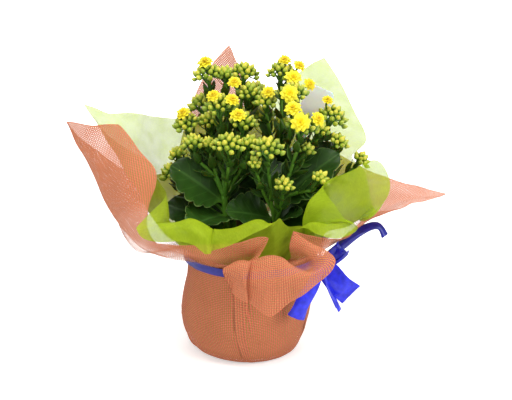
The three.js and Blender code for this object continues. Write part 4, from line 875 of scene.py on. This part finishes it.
# The flower heads: middle, radius, number of buds, plant, height at which the stalk leaves the stem, and
# how far the stalk's middle leans outwards, as a share of its reach, and sideways in millimetres.
HEADS = [
    ((-45, 25, 283), 15, 27, 2, 178, 0.12, 0), ((-9, 30, 283), 15, 27, 2, 180, 0.12, 0),
    ((28, 20, 286), 15, 27, 3, 180, 0.12, 0), ((-3, 8, 268), 13, 23, 2, 180, 0.12, 0),
    ((-32, -6, 259), 17, 30, 0, 170, 0.12, 0), ((-66, 2, 239), 14, 25, 2, 180, -0.1, 0),
    ((-59, -16, 224), 11, 19, 0, 168, -0.1, 0), ((-23, -42, 232), 15, 27, 0, 165, 0.12, 0),
    ((-9, -17, 246), 14, 25, 0, 168, 0.12, 0), ((12, 0, 262), 11, 19, 3, 180, 0.12, 0),
    ((40, -4, 272), 14, 25, 3, 180, 0.12, 0), ((48, -26, 246), 17, 30, 1, 168, 0.12, 0),
    ((79, 8, 244), 16, 28, 3, 180, -0.1, 0), ((14, -50, 230), 16, 28, 1, 136, 0.12, 0),
    ((2, -46, 213), 7, 12, 1, 150, 0.12, 0), ((30, -54, 194), 9, 15, 1, 143, 0.12, 0),
    ((65, -46, 198), 8, 14, 1, 168, 0.12, 0), ((110, 22, 194), 10, 17, 3, 150, 0.12, 0),
    ((-81, -10, 192), 12, 20, 0, 145, 0.12, 0), ((85, -6, 222), 10, 17, 3, 180, 0.12, -6),
    ((52, -20, 219), 8, 14, 1, 168, -0.1, 0), ((-52, 44, 246), 15, 27, 2, 164, 0.12, 0),
    ((2, 52, 258), 15, 27, 2, 174, 0.12, 0), ((58, 46, 240), 15, 27, 3, 158, 0.3, 0),
    ((30, 46, 226), 10, 17, 3, 165, 0.12, 0), ((-28, 22, 284), 8, 14, 2, 178, 0.12, 0),
    ((11, 18, 242), 11, 19, 3, 180, 0.12, 0), ((-43, 8, 240), 11, 19, 2, 178, 0.12, 0),
    ((-3, -40, 232), 8, 14, 0, 170, 0.12, 0), ((-75, -4, 209), 8, 14, 0, 152, 0.12, 0),
    ((-43, -16, 223), 7, 12, 0, 170, 0.12, 0), ((66, -9, 236), 9, 15, 3, 180, 0.12, 0),
    ((-24, 66, 238), 12, 20, 2, 168, 0.12, 0), ((32, 72, 248), 12, 20, 3, 180, 0.12, 0),
]

BLADE_RINGS = 60
BLADE_AROUND = 28
BRACTS = [(0.3, 16), (0.45, 17), (0.6, 15), (0.74, 12), (0.86, 9)]  # share of the stalk, and length in mm
BRACT_TURN = 1.9  # radians from one pair to the next
LEAF_CLOUDS = 45.0  # per metre: patches of 22 mm
SIDE_VEINS = 5
MIDRIB = (0.09, 0.02, 0.55)  # share of the half width where it starts and is full, and its strength
VEIN = (0.93, 1.0, 0.3)  # the same for the cosine that a side vein is the crest of
PALE_RIM = (0.95, 1.0, 0.7)
LEAF_DARK = "#1B360B"
LEAF_MIDDLE = "#2A4A12"
LEAF_VEIN = "#426628"
LEAF_RIM = "#8CA85C"
STEM_DARK = "#3F6E1C"
STEM_LIGHT = "#628E2C"


def stem_at(plant, z):
    """The middle of a plant's stem at a height: upright to the bend, then straight to the top."""
    (x, y), top = PLANTS[plant]
    share = max(z - STEM_BEND_Z, 0) / (top[2] - STEM_BEND_Z)
    return np.array([x + (top[0] - x) * share, y + (top[1] - y) * share, z])


def head_axis(head):
    """The direction in which a flower head leans, away from its plant's foot."""
    return unit(np.array(head[0]) - stem_at(head[3], 100))


def blade(length, width, teeth):
    """The rings of a leaf along +X with its upper face to +Z, and the share of the length and of the half
    width at its points. The half width is a sine of the share of the length, raised to 0.7, times a
    scallop that runs from 0.8 in the notches to 1.1 between them. The blade is folded up at its sides,
    bends down with the square of the length, and swells between its side veins."""
    start = -PETIOLE / length
    on_blade = np.sin(np.linspace(0, math.pi / 2, BLADE_RINGS)) ** 1.15
    share = np.concatenate([np.linspace(start, 0, 9)[:-1], on_blade])[:, None]
    angle = (np.arange(BLADE_AROUND) * 2 * math.pi / BLADE_AROUND)[None]
    side = np.cos(angle) * np.ones_like(share)
    inside = np.clip(share, 0, 1)
    up_stalk = np.clip(1 + share / abs(start), 0, 1)
    half = np.sin(math.pi * (0.07 + 0.9 * inside**0.9)) ** 0.7 * width / 2
    half = half * np.sqrt(1 - np.clip((inside - 0.93) / 0.07, 0, 1) ** 2 * 0.98)
    half = np.where(share < 0, STALK_RADII[0] + (half - STALK_RADII[0]) * up_stalk**3, half)
    scallop = 0.8 + 0.3 * np.abs(np.sin(math.pi * teeth * inside)) ** 0.5
    beside = side * half * (1 + (scallop - 1) * np.abs(side) ** 3 * (share > 0))
    fold = LEAF_FOLD * np.abs(beside) ** 1.5 / math.sqrt(width / 2) * 1.25
    ripple = 0.9 * np.sin(2 * math.pi * teeth * inside + 0.6) * np.abs(side) ** 3 * np.clip(inside * 6, 0, 1)
    swelling = np.cos(2 * math.pi * (teeth + 1) * (inside - 0.25 * np.abs(side)))
    quilt = 0.35 * swelling * np.sin(math.pi * side**2) * np.clip(inside * 4, 0, 1)
    middle = fold - LEAF_BEND * length * inside**2 + ripple + quilt
    thick = LEAF_THICKNESS * (1 - 0.55 * np.abs(side) ** 2.5) * (1 - 0.5 * inside**3)
    thick = np.where(share < 0, LEAF_THICKNESS + 1.4 * (1 - up_stalk), thick)
    groove = -0.35 * np.exp(-((beside / 1.1) ** 2)) * np.clip(inside * 8, 0, 1)
    z = middle - thick / 2 + thick / 2 * np.sin(angle) + groove * (np.sin(angle) > 0)
    return np.stack([PETIOLE + length * share + 0 * side, beside, z], axis=-1), inside, side


def placed(points, plant, z, azimuth, pitch, roll):
    """A leaf's points turned by its roll about X, raised by its pitch, turned to its azimuth and moved to
    its height on the stem."""
    x, y, up = points[..., 0], points[..., 1], points[..., 2]
    roll, pitch, azimuth = math.radians(roll), math.radians(pitch), math.radians(azimuth)
    y, up = y * math.cos(roll) - up * math.sin(roll), y * math.sin(roll) + up * math.cos(roll)
    x, up = x * math.cos(pitch) - up * math.sin(pitch), x * math.sin(pitch) + up * math.cos(pitch)
    x, y = x * math.cos(azimuth) - y * math.sin(azimuth), x * math.sin(azimuth) + y * math.cos(azimuth)
    return np.stack([x, y, up], axis=-1) + stem_at(plant, z)


def bract_rings(foot, out, up, length):
    """The rings of a small blunt leaflet that stands from its foot along out, with its face towards up,
    and the share of the half width at its points. Its half width is a sine of the way along, raised to
    0.8."""
    share = np.linspace(0, 1, 9)[:, None]
    angle = (np.arange(8) * math.pi / 4)[None]
    half = 0.27 * length * np.sin(math.pi * (0.12 + 0.86 * share)) ** 0.8
    beside = unit(np.cross(up, out))
    rise = 0.25 * length * share**2 + 0.35 * np.sin(angle) * (1.2 - share)
    rings = foot + out * (length * share)[..., None] + beside * (half * np.cos(angle))[..., None]
    return rings + np.cross(out, beside) * rise[..., None], np.cos(angle)


def stalk_path(head):
    """The path of a head's stalk: from the stem, out through a leaning middle, and the last 9 mm straight
    along the head's axis to just under its foot."""
    middle, radius, _, plant, z, lean, sideways = head
    axis = head_axis(head)
    start = stem_at(plant, z)
    end = np.array(middle) - axis * (0.95 * radius - 1)
    halfway = (start + end) / 2 + (end - start) * [lean, lean, 0] + unit([-axis[1], axis[0], 0]) * sideways
    return smooth_curve([start, halfway, end - axis * 9, end], 8)


def leaf_material():
    """Fleshy waxy leaves and stems. Leaves are deep green, paler along the midrib and side veins and on
    the thin rim, and the stems, stalks and bracts are a fresh light green."""
    material, tree = new_material("waxy succulent leaf and stem")
    leaf, along, side = [add(tree, "Attribute", output="Fac", attribute_name=name)
                         for name in ("leaf", "along", "side")]
    side = add(tree, "Math", [side], operation="ABSOLUTE")
    slant = add(tree, "Math", [side, 0.3], operation="MULTIPLY")
    slant = add(tree, "Math", [along, slant], operation="SUBTRACT")
    wave = add(tree, "Math", [slant, 2 * math.pi * SIDE_VEINS], operation="MULTIPLY")
    wave = add(tree, "Math", [wave], operation="COSINE")
    paler = []
    for value, (low, high, strength) in zip((side, wave, side), (MIDRIB, VEIN, PALE_RIM)):
        paler.append(add(tree, "MapRange", {"Value": value, "From Min": low, "From Max": high,
                                            "To Max": strength}, interpolation_type="SMOOTHSTEP"))
    midrib, veins, rim = paler
    veins = add(tree, "Math", [midrib, veins], operation="MAXIMUM")
    place = add(tree, "TexCoord", output="Object")
    cloud = add(tree, "TexNoise", {"Vector": place, "Scale": LEAF_CLOUDS, "Detail": 4.0})
    green = add(tree, "ValToRGB", [cloud], stops=[(0.3, LEAF_DARK), (0.7, LEAF_MIDDLE)])
    green = add(tree, "Mix", {0: veins, 6: green, 7: LEAF_VEIN}, output=2, data_type="RGBA")
    green = add(tree, "Mix", {0: rim, 6: green, 7: LEAF_RIM}, output=2, data_type="RGBA")
    stem = add(tree, "ValToRGB", [cloud], stops=[(0.3, STEM_DARK), (0.7, STEM_LIGHT)])
    colour = add(tree, "Mix", {0: leaf, 6: stem, 7: green}, output=2, data_type="RGBA")
    bump = add(tree, "Bump", {"Height": cloud, "Strength": 0.25, "Distance": 0.001})
    surface = add(tree, "BsdfPrincipled", {"Base Color": colour, "Roughness": 0.4, "Specular IOR Level": 0.2,
                                           "Subsurface Weight": 0.08, "Subsurface Scale": 0.004,
                                           "Normal": bump})
    add(tree, "OutputMaterial", {"Surface": surface})
    return material


succulent = leaf_material()
for plant, (_, top) in enumerate(PLANTS):
    stem = Parts("leaf", "along", "side")
    heights = np.linspace(STEM_FOOT_Z, top[2], 30)
    stem.tube([stem_at(plant, z) for z in heights], STEM_RADII, 18)
    for z, azimuth, pitch, length, width, teeth, roll in LEAVES[plant]:
        rings, along, side = blade(length, width, teeth)
        leaf = np.clip(rings[..., 0] / PETIOLE - 0.3, 0, 1)
        stem.loft(placed(rings, plant, z, azimuth, pitch, roll), leaf=leaf, along=along, side=side)
    for head in HEADS:
        if head[3] != plant:
            continue
        path = stalk_path(head)
        stem.tube(path, STALK_RADII, 12)
        turn = head[0][0] * 0.7
        for share, length in BRACTS:
            k = int(share * (len(path) - 1))
            ahead = unit(path[k + 1] - path[k])
            for about in (turn, turn + math.pi):
                out = unit(np.cross(ahead, [math.cos(about), math.sin(about), 0.1]))
                rings, side = bract_rings(path[k] + out * 1.4, unit(out + 0.9 * ahead), ahead, length)
                stem.loft(rings, leaf=0.75, along=np.linspace(0, 1, len(rings))[:, None], side=side)
            turn += BRACT_TURN
    leafy_stem = stem.finished(f"leafy_stem_fine_{plant + 1}", succulent)
    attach(leafy_stem, "root")
    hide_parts(f"leafy_stem_{plant + 1}")


# Bud clusters: heads of plump pointed buds on short forked branches, in a low dome. The buds are yellow
# at their tips and greener towards the four small sepals at their foot, and the outer ones are younger.
BUD_WIDTH = 5.5  # mm
BUD_LENGTH = 7.9  # mm
BUD_SEED = 100
GOLDEN_ANGLE = math.pi * (3 - math.sqrt(5))
BRANCHES = 6
DOME = (0.42, 0.78)  # height over the middle and fall to the edge, as shares of the radius
FOOT_RADII = (1.9, 1.6)  # mm, of the stalk under the branches
BRANCH_RADII = (1.3, 0.9)
BUD_STALK_RADII = (0.8, 0.65)
FLOWER_STALK_RADII = (0.9, 0.9, 1.3)
BUD_MOTTLE = 260.0  # per metre: mottled by 4 mm
BUD_GREEN = "#5A7E1E"
BUD_MIDDLE = "#94AA30"
BUD_TIP = "#D6D044"
# The calyx greens colour the sepals, branches and stalks; the dark one is partly painted shade deep among the
# buds.
CALYX_DARK = "#3F6A1E"
CALYX_LIGHT = "#5C8C2A"

# The open flowers that the clusters carry: middle, the direction that each faces, and its radius, in mm.
BLOOMS = [
    ((-47, 24, 293), (-0.2, -0.3, 1), 9), ((-18, 4, 278), (-0.1, -0.5, 0.9), 7.5),
    ((-38, -9, 268), (-0.2, -0.4, 1), 8), ((-20, -13, 265), (0.3, -0.5, 1), 8),
    ((-68, 0, 248), (-0.4, -0.4, 1), 8), ((-14, -24, 253), (0.1, -0.5, 1), 9),
    ((15, -3, 270), (-0.2, -0.6, 1), 7.5), ((31, 20, 296), (0, -0.4, 1), 7),
    ((45, 14, 292), (0.5, -0.4, 0.8), 7), ((39, 3, 283), (0.2, -0.8, 0.8), 9),
    ((35, -16, 272), (0, -0.9, 0.6), 9.5), ((55, 8, 275), (0.6, -0.6, 0.6), 7),
    ((38, -32, 262), (-0.1, -0.6, 1), 9), ((45, -42, 251), (0, -1, 0.5), 10),
    ((62, -30, 251), (0.6, -0.6, 0.7), 8), ((73, 7, 259), (0.2, -0.4, 1), 6),
]


def in_cluster(head, reach, angle, up):
    """A place in a cluster: distance from its axis, angle round it and height over its middle."""
    axis = head_axis(head)
    across = unit(np.cross([0, 1, 0], axis))
    beside = np.cross(axis, across)
    return np.array(head[0]) + across * reach * math.cos(angle) + beside * reach * math.sin(angle) + axis * up


def bud(cluster, foot, direction, width, length, age):
    """A bud: a teardrop whose radius is a sine of the way along, raised to 0.75, a little four-sided with
    a twist towards its tip, on a calyx that flares into four points."""
    share = np.linspace(0, 1, 12)[:, None]
    angle = (np.arange(12) * math.pi / 6)[None]
    body = np.sin(math.pi * np.clip(0.06 + 0.94 * share, 0, 1) ** 0.8) ** 0.75
    sides = 1 + 0.07 * np.cos(4 * angle + 2.5 * share) * share
    calyx = 0.16 * np.exp(-(((share - 0.2) / 0.1) ** 2)) * (0.4 + 0.6 * np.abs(np.cos(2 * angle)))
    radius = width / 2 * (np.maximum(body, 0.1 * (share < 0.5)) * sides + calyx)
    across = unit(np.cross(direction, [0.3, 0.2, 0.9]))
    other = np.cross(direction, across)
    rings = (foot + direction * (length * share)[..., None] + across * (radius * np.cos(angle))[..., None]
             + other * (radius * np.sin(angle))[..., None])
    ripe = np.clip(age * np.clip((share - 0.18) / 0.5, 0, 1) ** 0.8, 0, 1)
    cluster.loft(rings, ripe=ripe, green=np.clip(1.25 - share / 0.24, 0, 1))


def bud_material():
    """Waxy buds: from fresh green at the foot to lemon yellow at the tip as they ripen, with green
    sepals, branches and stalks mottled from dark to light. Their dark green is partly their own colour
    and partly painted shade deep among the buds."""
    material, tree = new_material("waxy flower bud")
    ripe, green = [add(tree, "Attribute", output="Fac", attribute_name=name) for name in ("ripe", "green")]
    place = add(tree, "TexCoord", output="Object")
    mottle = add(tree, "TexNoise", {"Vector": place, "Scale": BUD_MOTTLE, "Detail": 2.0})
    uneven = add(tree, "Math", [mottle, 0.24, -0.12], operation="MULTIPLY_ADD")
    ripeness = add(tree, "Math", [ripe, uneven], operation="ADD")
    body = add(tree, "ValToRGB", [ripeness], stops=[(0.05, BUD_GREEN), (0.45, BUD_MIDDLE), (0.9, BUD_TIP)])
    calyx = add(tree, "ValToRGB", [mottle], stops=[(0.3, CALYX_DARK), (0.7, CALYX_LIGHT)])
    colour = add(tree, "Mix", {0: green, 6: body, 7: calyx}, output=2, data_type="RGBA")
    surface = add(tree, "BsdfPrincipled", {"Base Color": colour, "Roughness": 0.4, "Subsurface Weight": 0.12,
                                           "Subsurface Scale": 0.003})
    add(tree, "OutputMaterial", {"Surface": surface})
    return material


waxy_bud = bud_material()
seats = [np.array(place) - unit(facing) * 1.9 for place, facing, _ in BLOOMS]
carriers = [int(np.argmin([np.linalg.norm(seat - np.array(head[0])) for head in HEADS])) for seat in seats]
for index, head in enumerate(HEADS):
    radius, count = head[1:3]
    draw = np.random.default_rng(BUD_SEED + index)
    cluster = Parts("ripe", "green")
    foot = in_cluster(head, 0, 0, -0.95 * radius)
    axis = head_axis(head)
    cluster.tube([foot - axis * 0.5, foot + axis * 0.3 * radius], FOOT_RADII, 10, green=1)
    forks = []
    for k in range(BRANCHES):
        angle = 2 * math.pi * k / BRANCHES + draw.uniform(-0.3, 0.3)
        out = 0.42 * radius if k else 0.0
        bend = in_cluster(head, 0.55 * out, angle, -0.55 * radius)
        end = in_cluster(head, out, angle, -0.22 * radius + draw.uniform(-0.5, 0.5))
        cluster.tube(smooth_curve([foot + axis, bend, end], 5), BRANCH_RADII, 8, green=1)
        forks.append(end)
    forks = np.array(forks)
    for k in range(count):
        reach = radius * math.sqrt((k + 0.3) / count) * 0.98
        rise = radius * (DOME[0] - DOME[1] * (reach / radius) ** 2) + draw.uniform(-0.9, 0.9)
        belly = in_cluster(head, reach, k * GOLDEN_ANGLE, rise)
        direction = unit(belly - in_cluster(head, 0, 0, -0.75 * radius) + draw.uniform(-1.5, 1.5, 3))
        size = draw.uniform(0.78, 1.06) * (1 - 0.12 * reach / radius)
        base = belly - direction * BUD_LENGTH * size * 0.45
        fork = forks[np.argmin(np.linalg.norm(forks - base, axis=-1))]
        halfway = (fork + base) / 2 - direction * 0.8
        cluster.tube(smooth_curve([fork, halfway, base + direction * 0.6], 3), BUD_STALK_RADII, 6, green=1)
        age = draw.uniform(0.55, 1.1) * (1.05 - 0.35 * reach / radius)
        bud(cluster, base, direction, BUD_WIDTH * size, BUD_LENGTH * size, age)
    for seat, (_, facing, _), carrier in zip(seats, BLOOMS, carriers):
        if carrier == index:
            back = seat - unit(facing) * 5
            start = in_cluster(head, 0, 0, -0.35 * radius)
            cluster.tube(smooth_curve([start, back, seat], 6), FLOWER_STALK_RADII, 8, green=1)
    bud_cluster = cluster.finished(f"bud_cluster_fine_{index + 1}", waxy_bud)
    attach(bud_cluster, "root")
    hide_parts(f"bud_cluster_{index + 1}")


# Blooms: double flowers of lemon yellow, with layers of blunt petals that stand up more towards the
# middle, on a small green calyx. A layer is the number of petals, their length as a share of the
# flower's radius, their rise in degrees and the height of their foot in millimetres.
PETAL_LAYERS = [(9, 1.0, 4, 0.3), (8, 0.86, 20, 0.9), (7, 0.68, 38, 1.4), (6, 0.5, 56, 1.9),
                (4, 0.34, 72, 2.2)]
PETAL_THICKNESS = 0.5  # mm
PETAL_SEED = 300
CALYX = np.array([(1.3, -1.6, 0), (2.1, -1.0, 0.4), (2.4, 0.2, 1), (1.9, 1.2, 0.5)])  # radius, height, flare
# Painted shade: within 7 mm of its foot a petal runs from the light yellow through the middle one to the deep
# one, as shade down in the flower.
PETAL_LIGHT = "#FFF42A"
PETAL_MIDDLE = "#FFEA10"
PETAL_DEEP_SHADE = "#F4CC00"


def petal(flower, middle, turn, angle, length, rise, foot):
    """A petal from the flower's middle: its half width is a sine of the way along, raised to 0.75, a
    little pointed at the tip. It is cupped across, and curls down towards its tip the more it lies
    flat."""
    share = np.linspace(0, 1, 11)[:, None]
    round_it = (np.arange(10) * math.pi / 5)[None]
    half = 0.36 * length * np.sin(math.pi * (0.1 + 0.86 * share**0.85)) ** 0.75
    half = half * np.sqrt(1 - 0.9 * np.clip((share - 0.85) / 0.15, 0, 1) ** 2)
    beside = half * np.cos(round_it)
    z = 0.16 * beside**2 / max(0.36 * length, 1) - 0.16 * length * (1 - rise / 90) * share**2
    z = z + PETAL_THICKNESS / 2 * np.sin(round_it) * (1 - 0.4 * share)
    x = length * share
    lift = math.radians(rise)
    out, up = x * math.cos(lift) - z * math.sin(lift), x * math.sin(lift) + z * math.cos(lift) + foot
    points = np.stack([out * math.cos(angle) - beside * math.sin(angle),
                       out * math.sin(angle) + beside * math.cos(angle), up], axis=-1)
    # painted shade, full at the petal's foot and none from 7 mm out
    flower.loft(points @ turn + middle, depth=np.clip(1 - x / 7, 0, 1))


def petal_material():
    """Thin petals of bright yellow that let light through, with painted shade in deeper yellow towards the
    flower's middle.
    """
    material, tree = new_material("yellow petal")
    depth, calyx = [add(tree, "Attribute", output="Fac", attribute_name=name) for name in ("depth", "calyx")]
    stops = [(0.1, PETAL_LIGHT), (0.55, PETAL_MIDDLE), (1.0, PETAL_DEEP_SHADE)]
    yellow = add(tree, "ValToRGB", [depth], stops=stops)
    colour = add(tree, "Mix", {0: calyx, 6: yellow, 7: CALYX_LIGHT}, output=2, data_type="RGBA")
    surface = add(tree, "BsdfPrincipled", {"Base Color": colour, "Roughness": 0.5, "Sheen Weight": 0.1})
    through = add(tree, "BsdfTranslucent", {"Color": colour})
    add(tree, "OutputMaterial", {"Surface": add(tree, "MixShader", [0.12, surface, through])})
    return material


yellow_petal = petal_material()
for index, (place, facing, radius) in enumerate(BLOOMS):
    flower = Parts("depth", "calyx")
    draw = np.random.default_rng(PETAL_SEED + index)
    normal = unit(facing)
    across = unit(np.cross([0.2, 1, 0.1], normal))
    turn = np.stack([across, np.cross(normal, across), normal])
    for number, share, rise, foot in PETAL_LAYERS:
        start = draw.uniform(0, 2 * math.pi)
        for k in range(number):
            angle = start + 2 * math.pi * k / number + draw.uniform(-0.08, 0.08)
            length = radius * share * draw.uniform(0.92, 1.04)
            petal(flower, place, turn, angle, length, rise + draw.uniform(-5, 5), foot)
    angle = (np.arange(12) * math.pi / 6)[None]
    reach = CALYX[:, :1] * (1 + 0.25 * np.abs(np.cos(2 * angle)) * CALYX[:, 2:])
    rings = np.stack([reach * np.cos(angle), reach * np.sin(angle), CALYX[:, 1:2] + 0 * angle], axis=-1)
    flower.loft(rings @ turn + place, calyx=1)
    bloom = flower.finished(f"bloom_fine_{index + 1}", yellow_petal)
    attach(bloom, "root")
    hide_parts(f"bloom_{index + 1}")


# Set: a plain pale floor in a white room, soft light from above, from the left and from the right, and
# the camera in front, looking down a little.
FLOOR_COLOUR = "#EFEEEC"
WHITE = "#FFFFFF"
CAMERA_TARGET = mathutils.Vector((0.003, 0, 0.158))  # metres
CAMERA_ELEVATION = 20.0  # degrees
CAMERA_DISTANCE = 1.3  # metres
CAMERA_LENS = 91.4  # mm
LIGHTS = [
    ("light above", (-0.3, -0.5, 2.2), 1.2, 32), ("light from the left", (-1.3, -1.7, 1.3), 0.8, 12),
    ("light from the right", (1.8, -1.1, 1.2), 1.2, 29), ("light from behind", (0.4, 2.6, 2.2), 2.0, 30),
]  # place and size in metres, and power in watts

bpy.ops.mesh.primitive_plane_add(size=12, location=(0, 0, 0))
floor = bpy.context.object
floor.name = "floor"
# The floor glows for the camera only, as painted light that makes it look white: at half strength within 0.1
# m of the pot's axis, so that the lamps' shadow there still shows, and 1.4 from 0.9 m out.
material, tree = new_material("pale matt floor")
place = add(tree, "TexCoord", output="Object")
away = add(tree, "VectorMath", [place], output="Value", operation="LENGTH")
glow = add(tree, "MapRange", {"Value": away, "From Min": 0.1, "From Max": 0.9, "To Min": 0.5, "To Max": 1.4})
seen = add(tree, "LightPath", output="Is Camera Ray")
glow = add(tree, "Math", [glow, seen], operation="MULTIPLY")
surface = add(tree, "BsdfPrincipled", {"Base Color": FLOOR_COLOUR, "Roughness": 0.9, "Emission Color": WHITE,
                                       "Emission Strength": glow})
add(tree, "OutputMaterial", {"Surface": surface})
floor.data.materials.append(material)

for name, place, size, power in LIGHTS:
    light = bpy.data.objects.new(name, bpy.data.lights.new(name, "AREA"))
    light.data.size = size
    light.data.energy = power
    light.location = place
    light.rotation_euler = (CAMERA_TARGET - light.location).to_track_quat("-Z", "Y").to_euler()
    bpy.context.scene.collection.objects.link(light)

world = bpy.data.worlds.new("white room")
bpy.context.scene.world = world
world.use_nodes = True
world.node_tree.nodes.clear()
seen = add(world.node_tree, "LightPath", output="Is Camera Ray")
strength = add(world.node_tree, "MapRange", {"Value": seen, "To Min": 0.42, "To Max": 0.95})
sky = add(world.node_tree, "Background", {"Color": WHITE, "Strength": strength})
add(world.node_tree, "OutputWorld", {"Surface": sky})

camera = bpy.data.objects.new("camera", bpy.data.cameras.new("camera"))
camera.data.lens = CAMERA_LENS
camera.data.sensor_width = 36
camera.data.clip_end = 20
rise = math.radians(CAMERA_ELEVATION)
away = mathutils.Vector((0, -math.cos(rise), math.sin(rise))) * CAMERA_DISTANCE
camera.location = CAMERA_TARGET + away
camera.rotation_euler = (-away).to_track_quat("-Z", "Y").to_euler()
bpy.context.scene.collection.objects.link(camera)
bpy.context.scene.camera = camera
bpy.context.scene.view_settings.view_transform = "Standard"
